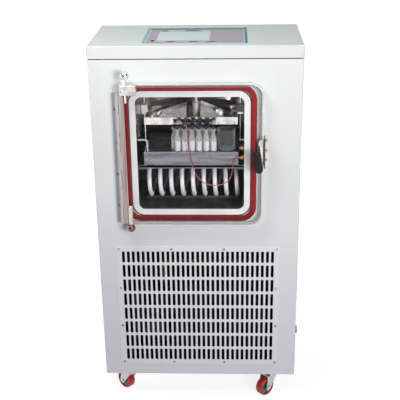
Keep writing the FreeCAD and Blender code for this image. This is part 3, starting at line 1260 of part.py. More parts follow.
def latch_knob():
    """Oval hand grip moulded on its stem, with the finger that turns into the post's slot."""
    stem = stem_place()
    back = V(stem.x, GRIP_BACK, stem.z)
    grip = plate(GRIP_W, GRIP_L, GRIP_W / 2 - 0.1, GRIP_T, back - Y * GRIP_T, Y)
    grip = fillet(grip, GRIP_EDGE_R, lambda e: abs(e.CenterOfMass.y - back.y + GRIP_T / 2) > GRIP_T / 2 - 0.1)
    grip.rotate(back, Y, -GRIP_TILT)
    bush_face = DOOR_FACE - ROSE_T - 1 - KNUCKLE_GAP
    neck = rod(STUD_R + 3, back, Y, bush_face - GRIP_BACK)
    stud = rod(STUD_R, back, Y, DOOR_FACE - DOOR_GAP - GRIP_BACK)
    finger = box(stem.x - FINGER_W / 2, stem.x + FINGER_W / 2, FINGER_FRONT, FINGER_FRONT + FINGER_T,
                 stem.z - FINGER_L, stem.z)
    finger = fillet(finger, 3.0, lambda e: along(e, Y) and e.CenterOfMass.z < stem.z - FINGER_L + 1)
    return fuse([grip, neck, stud, finger])


# ---------------------------------------------------------------- casters
def caster_plate(place):
    """Top plate with its kingpin; the pin's head holds the fork."""
    half = CASTER_PLATE / 2
    top = CASTER_H
    slab = box(place.x - half, place.x + half, place.y - half + 3, place.y + half - 3, top - PLATE_T, top)
    slab = fillet(slab, 6.0, lambda e: along(e, Z))
    pin = rod(SWIVEL_R, V(place.x, place.y, crown_low() - SEAT_GAP - 3), Z, top - crown_low() + SEAT_GAP + 2)
    head = rod(SWIVEL_R + 3, V(place.x, place.y, crown_low() - SEAT_GAP - 3), Z, 3)
    holes = [rod(3.2, V(place.x + a * (half - 9), place.y + b * (half - 12), top - 6), Z, 8)
             for a in (-1, 1) for b in (-1, 1)]
    return cut(fuse([slab, pin, head]), holes)


def crown_low():
    return CASTER_H - PLATE_T - SEAT_GAP - RACE_H - FORK_T


def caster_fork():
    """Fork drawn with its trail along +x from the swivel axis, and the axle bolt in it."""
    inside = WHEEL_W / 2 + FORK_GAP
    outside = inside + FORK_T
    low = crown_low()
    crown = box(-RACE_R + 4, RACE_R + 8, -outside, outside, low, low + FORK_T)
    race = rod(RACE_R, V(0, 0, low), Z, FORK_T + RACE_H)
    legs = []
    for y in (-outside, inside):
        corners = [V(-RACE_R + 4, y, low + FORK_T), V(RACE_R + 8, y, low + FORK_T), V(TRAIL + 11, y, WHEEL_R),
                   V(TRAIL - 9, y, WHEEL_R - 6)]
        leg = Part.Face(Part.makePolygon(corners + corners[:1])).extrude(Y * FORK_T)
        legs.append(leg.fuse(rod(11.0, V(TRAIL, y, WHEEL_R), Y, FORK_T)))
    bore = rod(SWIVEL_R + AXLE_CLEAR, V(0, 0, low - 1), Z, 30)
    holes = rod(AXLE_R, V(TRAIL, -outside - 1, WHEEL_R), Y, 2 * outside + 2)
    fork = cut(fuse([crown, race] + legs), [bore, holes])
    axle = fuse([rod(AXLE_R, V(TRAIL, -outside, WHEEL_R), Y, 2 * outside),
                 rod(AXLE_R + 3.5, V(TRAIL, -outside - 3, WHEEL_R), Y, 3),
                 rod(AXLE_R + 3.5, V(TRAIL, outside, WHEEL_R), Y, 3)])
    return Part.makeCompound([fork, axle])


def caster_wheel():
    """Core and tread moulded together, dished on both sides, with a hub between the legs."""
    w = WHEEL_W / 2
    bore = AXLE_R + AXLE_CLEAR
    hub = w + FORK_GAP - SEAT_GAP
    profile = [(bore, -hub), (11, -hub), (11, -w + 5), (WHEEL_R - 9, -w + 4), (WHEEL_R - 7, -w),
               (WHEEL_R - 3, -w), (WHEEL_R, -w + 4), (WHEEL_R, w - 4), (WHEEL_R - 3, w), (WHEEL_R - 7, w),
               (WHEEL_R - 9, w - 4), (11, w - 5), (11, hub), (bore, hub)]
    return turned(profile, V(TRAIL, 0, WHEEL_R), Y)


def placed(shape, corner, heading):
    """A caster piece turned to its heading, in degrees from +x, at its corner."""
    moved = shape.copy()
    moved.rotate(V(0, 0, 0), Z, heading)
    moved.translate(corner)
    return moved


CASTERS = (("front_left", V(-CASTER_X, CASTER_Y, 0), 135),
           ("front_right", V(CASTER_X, CASTER_Y, 0), 225),
           ("rear_left", V(-CASTER_X, CAB_D - CASTER_Y, 0), 300),
           ("rear_right", V(CASTER_X, CAB_D - CASTER_Y, 0), 150))


# ---------------------------------------------------------------- all sub-parts
def main():
    os.makedirs("parts", exist_ok=True)
    for maker in (base_pan, inner_frame, front_panel, rear_panel, top_cap, grille_panel, control_bezel,
                  display_screen, indicator_lamp, chamber_box, chamber_insulation, door_gasket,
                  shelf_box, lower_shelf, glass_jar, condenser_coil, probe_wire, press_plate,
                  press_spindle, press_drive, compressor, heat_exchanger, fan_shroud, fan_motor, fan_blades,
                  electrical_box, vacuum_port, power_inlet, drain_valve_body, drain_valve_knob, door_plate,
                  hinge_leaf_fixed, hinge_leaf_door, hinge_rod, latch_post, latch_rose, latch_knob):
        write(maker.__name__, maker())
    for maker in (panel_screws, shelf_rails, guide_rods, guide_blocks, fluid_tubes, brass_fittings,
                  compressor_feet, refrigerant_pipes, hinge_blocks, ball_pins):
        write_group(maker.__name__, maker())
    write("side_panel_left", side_panel(-1))
    write("side_panel_right", side_panel(1))
    write_group("vials", [vial(place) for place in vial_places()])
    write_group("stoppers", [stopper(place) for place in vial_places()])
    write_group("caster_plates", [caster_plate(corner) for name, corner, heading in CASTERS])
    fork = caster_fork()
    wheel = caster_wheel()
    for name, corner, heading in CASTERS:
        write("caster_fork_" + name, placed(fork, corner, heading))
        write("caster_wheel_" + name, placed(wheel, corner, heading))


main()
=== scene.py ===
"""Freeze dryer: looks, detail pieces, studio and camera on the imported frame. Metres."""
import math
import random
import bmesh
import bpy
from mathutils import Matrix, Vector


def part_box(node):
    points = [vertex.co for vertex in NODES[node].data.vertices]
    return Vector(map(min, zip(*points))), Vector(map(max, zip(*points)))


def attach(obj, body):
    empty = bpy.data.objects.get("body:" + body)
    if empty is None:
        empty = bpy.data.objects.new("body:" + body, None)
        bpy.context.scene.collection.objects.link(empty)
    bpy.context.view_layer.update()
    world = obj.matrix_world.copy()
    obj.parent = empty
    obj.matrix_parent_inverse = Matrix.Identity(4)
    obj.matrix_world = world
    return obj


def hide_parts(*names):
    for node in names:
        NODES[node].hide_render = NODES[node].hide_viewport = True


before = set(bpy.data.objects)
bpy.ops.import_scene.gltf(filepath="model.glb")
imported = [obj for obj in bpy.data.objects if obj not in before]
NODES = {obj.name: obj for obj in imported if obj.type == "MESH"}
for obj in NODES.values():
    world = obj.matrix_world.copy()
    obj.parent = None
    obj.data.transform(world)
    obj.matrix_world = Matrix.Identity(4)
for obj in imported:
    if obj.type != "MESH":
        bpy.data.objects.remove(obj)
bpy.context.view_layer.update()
FRONT = -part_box("front_panel")[0][1]    # the front panel's face is this far in front of the frame's origin


def at(x, y, z):
    """A place given in millimetres from the middle of the front panel's foot."""
    return Vector((x / 1000, y / 1000 - FRONT, z / 1000))


# ---------------------------------------------------------------- node helpers
def rgb(r, g, b):
    """A display colour, 0 to 255, as the linear colour that a shader takes."""
    def linear(c):
        c = c / 255
        return c / 12.92 if c <= 0.04045 else ((c + 0.055) / 1.055) ** 2.4
    return (linear(r), linear(g), linear(b), 1.0)


def put(tree, socket, value):
    """Links a socket to a value's own socket, or sets it to a plain value."""
    if isinstance(value, bpy.types.NodeSocket):
        tree.links.new(value, socket)
    else:
        socket.default_value = value


def node(tree, kind, sockets=(), **settings):
    """A new node with its settings and its input sockets filled."""
    made = tree.nodes.new(kind)
    for key, value in settings.items():
        setattr(made, key, value)
    for key, value in dict(sockets).items():
        put(tree, made.inputs[key], value)
    return made


def calc(tree, operation, a, b=0.0, clamp=False):
    """One sum on one or two values."""
    return node(tree, "ShaderNodeMath", {0: a, 1: b}, operation=operation, use_clamp=clamp).outputs[0]


def place(tree, stretch=(1, 1, 1)):
    """Object coordinates, which stay with the piece as it moves."""
    coordinate = node(tree, "ShaderNodeTexCoord").outputs["Object"]
    return node(tree, "ShaderNodeMapping", {"Vector": coordinate, "Scale": stretch}).outputs[0]


def axes(tree):
    """The object coordinates x, y and z, each on its own."""
    return node(tree, "ShaderNodeSeparateXYZ", {0: place(tree)}).outputs


def noise(tree, scale, stretch=(1, 1, 1), detail=3.0, rough=0.5):
    """A grey cloud pattern with about scale lumps to the metre."""
    made = node(tree, "ShaderNodeTexNoise",
                {"Vector": place(tree, stretch), "Scale": scale, "Detail": detail, "Roughness": rough})
    return made.outputs["Fac"]


def hairlines(tree, along):
    """Brushing marks that run along one axis."""
    return noise(tree, 1500.0, HAIR[along], detail=4.0, rough=0.6)


def greys(tree, factor, low, high):
    """A grey from low to high as factor goes from 0 to 1."""
    made = node(tree, "ShaderNodeValToRGB", {"Fac": factor})
    for element, grey in zip(made.color_ramp.elements, (low, high)):
        element.color = (grey, grey, grey, 1.0)
    return made.outputs["Color"]


def spread(tree, value, low, high, to_low=0.0, to_high=1.0):
    """A smooth step from to_low to to_high as value goes from low to high."""
    return node(tree, "ShaderNodeMapRange",
                {"Value": value, "From Min": low, "From Max": high, "To Min": to_low, "To Max": to_high},
                interpolation_type="SMOOTHSTEP").outputs[0]


def above(tree, value, edge, soft=0.0003):
    """1 where value is past an edge, with a soft change."""
    return spread(tree, value, edge - soft, edge + soft)


def below(tree, value, edge, soft=0.0003):
    """1 where value is short of an edge, with a soft change."""
    return spread(tree, value, edge + soft, edge - soft)


def within(tree, value, low, high, soft=0.0003):
    """1 where value lies between low and high, with soft edges."""
    return calc(tree, "SUBTRACT", above(tree, value, low, soft), above(tree, value, high, soft), clamp=True)


def product(tree, *values):
    """All the values multiplied together."""
    total = values[0]
    for value in values[1:]:
        total = calc(tree, "MULTIPLY", total, value)
    return total


def mix(tree, factor, a, b):
    """The colour a, going over to b as factor goes from 0 to 1."""
    made = node(tree, "ShaderNodeMix", data_type="RGBA")
    first, second = 6, 7               # the node's colour sockets, which share their names with others
    put(tree, made.inputs[0], factor)
    put(tree, made.inputs[first], a)
    put(tree, made.inputs[second], b)
    return made.outputs[2]


def mottle(tree, pattern, colour, shade, low=0.35, high=0.7):
    """One colour, going over to another where a pattern is strong."""
    return mix(tree, spread(tree, pattern, low, high), colour, shade)


def gloss_range(tree, pattern, low, high):
    """Roughness that wanders between two values with a pattern."""
    return spread(tree, pattern, 0.3, 0.7, low, high)


def bump(tree, height, distance, strength=1.0):
    """distance is the height of the relief in metres."""
    return node(tree, "ShaderNodeBump",
                {"Height": height, "Distance": distance, "Strength": strength}).outputs[0]


def surface(name, build):
    """A material: build(tree) gives the Principled shader's sockets."""
    made, tree = blank(name)
    shader = node(tree, "ShaderNodeBsdfPrincipled", build(tree))
    output = node(tree, "ShaderNodeOutputMaterial")
    tree.links.new(shader.outputs[0], output.inputs["Surface"])
    return made


def blank(name):
    """A new material and its emptied node tree."""
    made = bpy.data.materials.new(name)
    made.use_nodes = True
    made.node_tree.nodes.clear()
    return made, made.node_tree


def edge_distance(tree, middle, half, corner):
    """Metres inward from the outline of a rounded plate, over x and z."""
    x, _, z = axes(tree)
    far = []
    for value, centre, size in ((x, middle[0], half[0]), (z, middle[1], half[1])):
        offset = calc(tree, "ABSOLUTE", calc(tree, "SUBTRACT", value, centre))
        far.append(calc(tree, "SUBTRACT", offset, size - corner))
    past = [calc(tree, "MAXIMUM", value, 0.0) for value in far]
    squares = [product(tree, value, value) for value in past]
    outside = calc(tree, "SQRT", calc(tree, "ADD", *squares))
    inside = calc(tree, "MINIMUM", calc(tree, "MAXIMUM", far[0], far[1]), 0.0)
    return calc(tree, "SUBTRACT", corner, calc(tree, "ADD", outside, inside))


# ---------------------------------------------------------------- where the looks change, in the row frame
HAIR = {"X": (0.03, 1, 1), "Y": (1, 0.03, 1), "Z": (1, 1, 0.03)}
INSIDE_X = 0.3205                       # the cabinet's faces within these are painted dark as shade
INSIDE_Y = (-0.1468, 0.1914)
INSIDE_TOP = 1.1990
LOW_SHADE_HEIGHTS = (0.95, 0.15)             # the coat is painted darker as shade low down, between these heights
CAP_FACE = -0.1477                      # the lid's front is at or before this
COIL_SHADE_EDGE = -0.045                      # the coil is painted dark as shade behind this
GASKET_SHADE_REACH = ((0.715, 0.668), (-0.205, -0.222))    # heights and x over which the seal is painted darker as shade
MOUTH_MIDDLE = (-0.0185, 0.8895)        # the chamber's opening, over x and z
MOUTH_HALF = (0.1665, 0.1835)
MOUTH_CORNER = 0.020
MOUTH_GAP_SHADOW = (-0.0235, -0.0186)         # painted shadow line in the gap round the flange, outward from the opening
FLANGE_FACE = -0.1475
CHAMBER_HIGHLIGHT_HEIGHTS = (0.90, 0.98)           # heights over which the inside is painted pale as highlight
CHAMBER_DULL = (0.76, 0.72)             # and, further down, loses its gloss
BARREL_EDGE = -0.2319                   # the hinge's barrel, painted grey as shadow, is left of this
LOWER_BALL = 0.6717                     # the ball painted dark red as a reflection is below this
WEB_EDGE = -0.1515                      # the latch post's upright web stands before this
WHEEL_CORE = 0.0235                     # radius of the green core
DOOR_CORNER = 0.042
DOOR_EDGE_HIGHLIGHT = (-0.001, 0.0042)          # painted highlight line along the door's edge, inward from its outline
# painted grey reflection line, further in
DOOR_EDGE_REFLECTION = (0.0056, 0.0105)
FIN_PITCH = 0.0022
SCREEN_FIELD = ((-0.1200, 0.0405), (-0.0745, 0.0595))
SCREEN_ROW = 0.019                      # half the pitch of the layout's rows
SCREEN_BLOCK = (0.004, 0.0145)
FILM_EDGE = (0.1575, 0.1334)            # the film ends here, over x and y
X, Y = 0, 1
FILM_BANDS = (                          # axis, low and high edge, colour; each lies over the ones before it
    (X, -0.1515, -0.1500, rgb(228, 236, 234)),
    (X, 0.1465, 0.1485, rgb(228, 236, 234)),
    (Y, 0.1215, 0.1335, rgb(212, 212, 220)),
    (Y, 0.0975, 0.1215, rgb(8, 104, 118)),
    (X, 0.1485, 0.1575, rgb(16, 116, 130)),
    (X, -0.1615, -0.1515, rgb(112, 182, 196)),
)


# ---------------------------------------------------------------- finishes
def coat(colour, shade, gloss=0.34, shine=0.5, low=None, front=None):
    """Powder coat: orange-peel relief, a drift of colour, painted shade darker towards the bottom, a tint in
    front, faces inside the cabinet painted dark as shade.
    """
    def build(tree):
        speck = noise(tree, 900.0, detail=1.0)
        x, y, z = axes(tree)
        base = mottle(tree, noise(tree, 3.0, detail=4.0), colour, shade, 0.3)
        # painted shade: the coat turns darker towards the bottom, as light falls off near the floor
        base = mix(tree, spread(tree, z, *LOW_SHADE_HEIGHTS), base, low or shade)
        if front:
            base = mix(tree, below(tree, y, CAP_FACE), base, front)
        # painted shade: faces inside the cabinet, seen through the grille, are painted dark
        inner_shade = product(tree, within(tree, x, -INSIDE_X, INSIDE_X), within(tree, y, *INSIDE_Y),
                        below(tree, z, INSIDE_TOP, 0.0005))
        base = mix(tree, spread(tree, speck, 0.62, 0.8, 0.0, 0.10), base, rgb(160, 164, 166))
        return {"Base Color": mix(tree, inner_shade, base, rgb(24, 25, 26)),
                "Specular IOR Level": spread(tree, inner_shade, 0.0, 1.0, shine, 0.08),
                "Roughness": gloss_range(tree, noise(tree, 14.0), gloss, gloss + 0.1),
                "Normal": bump(tree, noise(tree, 620.0, detail=2.0), 0.00006, 0.35)}
    return build


def brushed(colour, shade, along, gloss):
    """Brushed steel: fine hairlines along one axis, broader bands and a few smears."""
    def build(tree):
        lines = hairlines(tree, along)
        bands = noise(tree, 90.0, tuple(max(share, 0.08) for share in HAIR[along]), detail=2.0)
        smears = noise(tree, 16.0)
        base = mottle(tree, bands, colour, shade, 0.3)
        base = mix(tree, spread(tree, lines, 0.35, 0.75, 0.0, 0.35), base, rgb(120, 116, 114))
        return {"Base Color": base, "Metallic": 1.0,
                "Roughness": calc(tree, "ADD", spread(tree, lines, 0.2, 0.8, gloss, gloss + 0.12),
                                  spread(tree, smears, 0.4, 0.75, 0.0, 0.1)),
                "Normal": bump(tree, lines, 0.00002, 0.5)}
    return build


def polished(colour, gloss=0.09, metal=1.0):
    """Polished steel or chrome: faint smears, a few fine scratches."""
    def build(tree):
        smears = noise(tree, 35.0, detail=5.0)
        fine = noise(tree, 700.0, (1, 0.05, 1), detail=2.0)
        return {"Base Color": mottle(tree, smears, colour, rgb(196, 193, 190)),
                "Metallic": metal,
                "Roughness": calc(tree, "ADD", spread(tree, smears, 0.4, 0.8, gloss, gloss + 0.12),
                                  spread(tree, fine, 0.55, 0.8, 0.0, 0.06)),
                "Normal": bump(tree, fine, 0.000008, 0.4)}
    return build


def moulded(colour, shade, gloss=0.45, grain=1100.0, depth=0.00004, shine=0.5):
    """Moulded plastic or rubber: fine spark texture and a soft drift of colour."""
    def build(tree):
        return {"Base Color": mottle(tree, noise(tree, 22.0), colour, shade, 0.3),
                "Roughness": gloss_range(tree, noise(tree, 40.0), gloss, gloss + 0.12),
                "Specular IOR Level": shine,
                "Normal": bump(tree, noise(tree, grain, detail=2.0), depth, 0.4)}
    return build


def clear(colour, low, high, gloss=0.03, edge=0.35):
    """Clear glass: nearly see-through face on, painted whiter and denser towards its edges as highlight."""
    def build(tree):
        facing = node(tree, "ShaderNodeLayerWeight", {"Blend": edge}).outputs["Facing"]
        dust = noise(tree, 60.0, detail=5.0)
        return {"Base Color": colour,
                # painted highlight: whiter towards the edges
                "Alpha": calc(tree, "ADD", spread(tree, facing, 0.1, 0.95, low, high),
                              spread(tree, dust, 0.6, 0.9, 0.0, 0.03), clamp=True),
                "Roughness": spread(tree, dust, 0.5, 0.85, gloss, gloss + 0.12),
                "IOR": 1.5,
                "Normal": bump(tree, noise(tree, 20.0), 0.0001, 0.1)}
    return build


def zinc(tree):
    """Zinc plate: spangle of slightly different greys, faint yellow cast."""
    cells = node(tree, "ShaderNodeTexVoronoi", {"Vector": place(tree), "Scale": 160.0}).outputs["Color"]
    tone = node(tree, "ShaderNodeSeparateXYZ", {0: cells}).outputs[0]
    base = mix(tree, tone, rgb(176, 178, 180), rgb(206, 204, 196))
    base = mottle(tree, noise(tree, 30.0, detail=5.0), base, rgb(150, 146, 138), 0.5, 0.75)
    return {"Base Color": base, "Metallic": 0.95,
            "Roughness": gloss_range(tree, noise(tree, 80.0), 0.28, 0.42),
            "Normal": bump(tree, noise(tree, 500.0), 0.00002, 0.4)}


def foam(tree):
    """Cream rigid foam: open cells, matt."""
    cells = node(tree, "ShaderNodeTexVoronoi", {"Vector": place(tree), "Scale": 700.0}).outputs["Distance"]
    return {"Base Color": mix(tree, noise(tree, 12.0), rgb(222, 208, 168), rgb(206, 190, 148)),
            "Roughness": 0.9, "Normal": bump(tree, cells, 0.0004, 0.7)}


def frost(tree):
    """Frosted tube: white rime with soft lumps, painted dark round the back of each turn as shade."""
    lumps = noise(tree, 210.0, detail=6.0, rough=0.6)
    base = mottle(tree, noise(tree, 45.0), rgb(253, 253, 253), rgb(236, 240, 243))
    # painted shade round the back of each turn
    base = mix(tree, above(tree, axes(tree)[1], COIL_SHADE_EDGE, 0.007), base, rgb(58, 60, 66))
    return {"Base Color": base, "Roughness": gloss_range(tree, lumps, 0.45, 0.8),
            "Normal": bump(tree, lumps, 0.0009, 0.7)}


def copper(tree):
    """Copper pipe, stained brown in patches."""
    stain = noise(tree, 60.0, detail=6.0)
    return {"Base Color": mottle(tree, stain, rgb(168, 100, 74), rgb(92, 54, 42)),
            "Metallic": 1.0, "Roughness": gloss_range(tree, stain, 0.22, 0.42),
            "Normal": bump(tree, noise(tree, 400.0), 0.00002, 0.4)}


def brass(tree):
    """Turned brass: fine rings and a little tarnish."""
    rings = noise(tree, 900.0, (1, 0.1, 0.1), detail=2.0)
    base = mottle(tree, noise(tree, 70.0, detail=4.0), rgb(216, 178, 104), rgb(168, 130, 70))
    return {"Base Color": base, "Metallic": 1.0, "Roughness": gloss_range(tree, rings, 0.2, 0.34),
            "Normal": bump(tree, rings, 0.00002, 0.5)}


def fins(tree):
    """Finned block: close fins as fine upright relief, painted nearly black as the shade behind the grille.
    """
    wave = calc(tree, "SINE", calc(tree, "MULTIPLY", axes(tree)[0], 2 * math.pi / FIN_PITCH))
    # painted shade: the fins are nearly black
    base = mottle(tree, noise(tree, 25.0, detail=5.0), rgb(30, 32, 32), rgb(18, 19, 19))
    return {"Base Color": base, "Metallic": 0.3, "Roughness": 0.7, "Specular IOR Level": 0.2,
            "Normal": bump(tree, wave, 0.0004, 0.8)}


def gasket(tree):
    """Red silicone: bright red, painted darker and browner low down and at the hinge side as shade."""
    x, _, z = axes(tree)
    low_down, at_hinge = GASKET_SHADE_REACH
    # painted shade: darker low down and where the hinge shades the seal
    gasket_shade = calc(tree, "MAXIMUM", spread(tree, z, *low_down), spread(tree, x, *at_hinge))
    base = mix(tree, gasket_shade, rgb(146, 22, 30), rgb(108, 6, 10))
    dust = spread(tree, noise(tree, 40.0, detail=4.0), 0.45, 0.75, 0.0, 0.4)
    return {"Base Color": mix(tree, dust, base, rgb(112, 14, 20)),
            "Roughness": gloss_range(tree, noise(tree, 60.0), 0.42, 0.56),
            "Specular IOR Level": 0.25,
            "Normal": bump(tree, noise(tree, 500.0), 0.00005, 0.4)}


def control_film(tree):
    """Printed film of the control panel: brushed lilac grey field inside a teal frame."""
    xyz = axes(tree)
    hair = noise(tree, 1400.0, (0.04, 1, 1))
    base = mottle(tree, hair, rgb(178, 172, 182), rgb(152, 148, 158), 0.3)
    for axis, low, high, colour in FILM_BANDS:
        base = mix(tree, within(tree, xyz[axis], low, high), base, colour)
    outside = calc(tree, "MAXIMUM", above(tree, xyz[X], FILM_EDGE[X]),
                   above(tree, xyz[Y], FILM_EDGE[Y], 0.0004))
    base = mix(tree, outside, base, rgb(214, 226, 220))
    return {"Base Color": base, "Roughness": gloss_range(tree, hair, 0.3, 0.42),
            "Specular IOR Level": 0.1,
            "Normal": bump(tree, hair, 0.00001, 0.4)}


def screen(tree):
    """Display: pale teal field behind glass, a darker surround, faint blocks of its layout."""
    x, y, _ = axes(tree)
    glass = product(tree, within(tree, x, *SCREEN_FIELD[X]), within(tree, y, *SCREEN_FIELD[Y]))
    base = mottle(tree, noise(tree, 9.0, detail=2.0), rgb(186, 210, 208), rgb(172, 200, 198), 0.3)
    rows = within(tree, calc(tree, "PINGPONG", y, SCREEN_ROW), *SCREEN_BLOCK)
    base = mix(tree, calc(tree, "MULTIPLY", rows, 0.22), base, rgb(210, 226, 220))
    base = mix(tree, glass, rgb(168, 163, 172), base)
    return {"Base Color": base, "Roughness": 0.16, "Specular IOR Level": 0.3,
            "Normal": bump(tree, noise(tree, 300.0), 0.00001, 0.3)}


def acrylic(tree):
    """Door sheet: clear face, edge faces painted pale as highlight, a painted highlight line along the edge
    and a painted grey reflection line inside it.
    """
    normal = node(tree, "ShaderNodeSeparateXYZ",
                  {0: node(tree, "ShaderNodeTexCoord").outputs["Normal"]}).outputs
    # painted highlight: the edge faces are pale
    edge = spread(tree, calc(tree, "ABSOLUTE", normal[1]), 0.85, 0.3)
    low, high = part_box("door_plate")
    middle = ((low[0] + high[0]) / 2, (low[2] + high[2]) / 2)
    half = ((high[0] - low[0]) / 2, (high[2] - low[2]) / 2)
    depth = edge_distance(tree, middle, half, DOOR_CORNER)
    # painted highlight line and painted grey reflection line along the edge
    bright = within(tree, depth, *DOOR_EDGE_HIGHLIGHT, 0.0006)
    dull = within(tree, depth, *DOOR_EDGE_REFLECTION, 0.0008)
    facing = node(tree, "ShaderNodeLayerWeight", {"Blend": 0.3}).outputs["Facing"]
    veil = calc(tree, "ADD", spread(tree, facing, 0.1, 0.95, 0.004, 0.25),
                spread(tree, noise(tree, 28.0, detail=6.0), 0.5, 0.9, 0.0, 0.012))
    for line, strength in ((bright, 0.7), (dull, 0.55), (edge, 0.5)):
        veil = calc(tree, "MAXIMUM", veil, calc(tree, "MULTIPLY", line, strength))
    base = mix(tree, dull, rgb(238, 242, 240), rgb(136, 126, 134))
    return {"Base Color": mix(tree, edge, base, rgb(236, 238, 238)), "Alpha": veil,
            "Roughness": spread(tree, edge, 0.0, 1.0, 0.04, 0.35), "IOR": 1.49,
            "Normal": bump(tree, noise(tree, 6.0), 0.0002, 0.15)}


def chamber_steel(tree):
    """Welded steel: a pale satin face on the flange with a painted shadow line round its outer edge; inside
    brushed, painted dark as shade, and paler high up as painted highlight.
    """
    _, y, z = axes(tree)
    lines = hairlines(tree, "Y")
    stain = noise(tree, 14.0, detail=4.0)
    # painted shade: the inside is painted dark
    inside = mottle(tree, stain, rgb(112, 108, 110), rgb(74, 70, 76))
    # painted highlight: paler towards the ceiling
    inside = mix(tree, spread(tree, z, *CHAMBER_HIGHLIGHT_HEIGHTS), inside, rgb(188, 184, 186))
    face = mottle(tree, stain, rgb(240, 240, 238), rgb(228, 229, 227), 0.3)
    out = edge_distance(tree, MOUTH_MIDDLE, MOUTH_HALF, MOUTH_CORNER)
    # painted shadow in the gap between flange and seal
    face = mix(tree, within(tree, out, *MOUTH_GAP_SHADOW), face, rgb(84, 74, 80))
    flange = below(tree, y, FLANGE_FACE, 0.0005)
    dull = calc(tree, "MAXIMUM", flange, spread(tree, z, *CHAMBER_DULL))
    return {"Base Color": mix(tree, flange, inside, face),
            "Metallic": spread(tree, flange, 0.0, 1.0, 1.0, 0.25),
            "Roughness": calc(tree, "ADD", spread(tree, lines, 0.2, 0.8, 0.18, 0.3),
                              calc(tree, "MULTIPLY", dull, 0.25)),
            "Normal": bump(tree, lines, 0.00002, 0.5)}


def hinge_strip(tree):
    """The door's leaf: upright brushed bands painted warm as a reflection; its barrel is coated in a grey
    painted as the shadow beside it.
    """
    painted = below(tree, axes(tree)[0], BARREL_EDGE)
    lines = hairlines(tree, "Z")
    # painted reflection: broad warm upright bands
    base = mottle(tree, noise(tree, 150.0, (1, 1, 0.02), detail=1.0), rgb(212, 198, 190), rgb(158, 140, 138),
                  0.36, 0.62)
    base = mix(tree, spread(tree, lines, 0.35, 0.75, 0.0, 0.35), base, rgb(124, 112, 110))
    # painted shadow: the barrel's grey coat
    return {"Base Color": mix(tree, painted, base, rgb(192, 188, 194)),
            "Metallic": spread(tree, painted, 0.0, 1.0, 0.55, 0.0),
            "Roughness": calc(tree, "ADD", spread(tree, lines, 0.2, 0.8, 0.26, 0.38),
                              calc(tree, "MULTIPLY", painted, 0.12)),
            "Normal": bump(tree, lines, 0.00002, 0.5)}


def ball_finish(tree):
    """Chrome pins; the lower ball is painted dark red under a clear coat, a painted reflection of the dark
    red that its chrome mirrors low down.
    """
    enamel = below(tree, axes(tree)[2], LOWER_BALL, 0.0005)
    smears = noise(tree, 60.0, detail=4.0)
    chrome = mottle(tree, smears, rgb(232, 230, 228), rgb(206, 203, 200))
    # painted reflection: the lower ball's dark red
    red = mottle(tree, smears, rgb(104, 18, 28), rgb(56, 10, 16))
    return {"Base Color": mix(tree, enamel, chrome, red),
            "Metallic": spread(tree, enamel, 0.0, 1.0, 1.0, 0.0),
            "Coat Weight": enamel, "Coat Roughness": 0.05,
            "Roughness": spread(tree, smears, 0.4, 0.8, 0.06, 0.16),
            "Normal": bump(tree, smears, 0.00002, 0.3)}


def latch_steel(tree):
    """Keep of the latch: bright foot, a brown painted reflection along the upright web's polished edge."""
    web = below(tree, axes(tree)[1], WEB_EDGE)
    smears = noise(tree, 45.0, (1, 1, 0.2), detail=5.0)
    bright = mottle(tree, smears, rgb(236, 232, 228), rgb(206, 200, 196))
    # painted reflection: the brown stripe on the polished web
    brown = mottle(tree, smears, rgb(112, 84, 62), rgb(74, 54, 44))
    return {"Base Color": mix(tree, web, bright, brown),
            "Metallic": spread(tree, web, 0.0, 1.0, 0.5, 0.8),
            "Roughness": spread(tree, smears, 0.4, 0.8, 0.2, 0.34),
            "Normal": bump(tree, smears, 0.00002, 0.3)}


def wheel_finish(centre, axle):
    """Cast tread in red polyurethane on a green moulded core."""
    def vector(tree, operation, a, b):
        return node(tree, "ShaderNodeVectorMath", {0: a, 1: b}, operation=operation).outputs

    def build(tree):
        offset = vector(tree, "SUBTRACT", place(tree), centre)[0]
        share = vector(tree, "DOT_PRODUCT", offset, axle)["Value"]
        along = node(tree, "ShaderNodeVectorMath", {0: axle, "Scale": share}, operation="SCALE").outputs[0]
        across = vector(tree, "SUBTRACT", offset, along)[0]
        radius = node(tree, "ShaderNodeVectorMath", {0: across}, operation="LENGTH").outputs["Value"]
        scuff = noise(tree, 90.0, detail=5.0)
        red = mottle(tree, scuff, rgb(186, 22, 34), rgb(128, 16, 24), 0.4, 0.75)
        core = mottle(tree, scuff, rgb(28, 104, 96), rgb(16, 68, 66))
        return {"Base Color": mix(tree, above(tree, radius, WHEEL_CORE), core, red),
                "Roughness": gloss_range(tree, scuff, 0.28, 0.5),
                "Coat Weight": 0.25, "Coat Roughness": 0.2,
                "Normal": bump(tree, scuff, 0.0002, 0.4)}
    return build


def cake(tree):
    """Dried product: white, crumbly, slightly translucent."""
    crumb = noise(tree, 420.0, detail=6.0)
    return {"Base Color": mix(tree, crumb, rgb(250, 250, 250), rgb(232, 234, 238)),
            "Roughness": 0.85, "Subsurface Weight": 0.2, "Subsurface Radius": (0.002, 0.002, 0.002),
            "Normal": bump(tree, crumb, 0.0006, 0.6)}


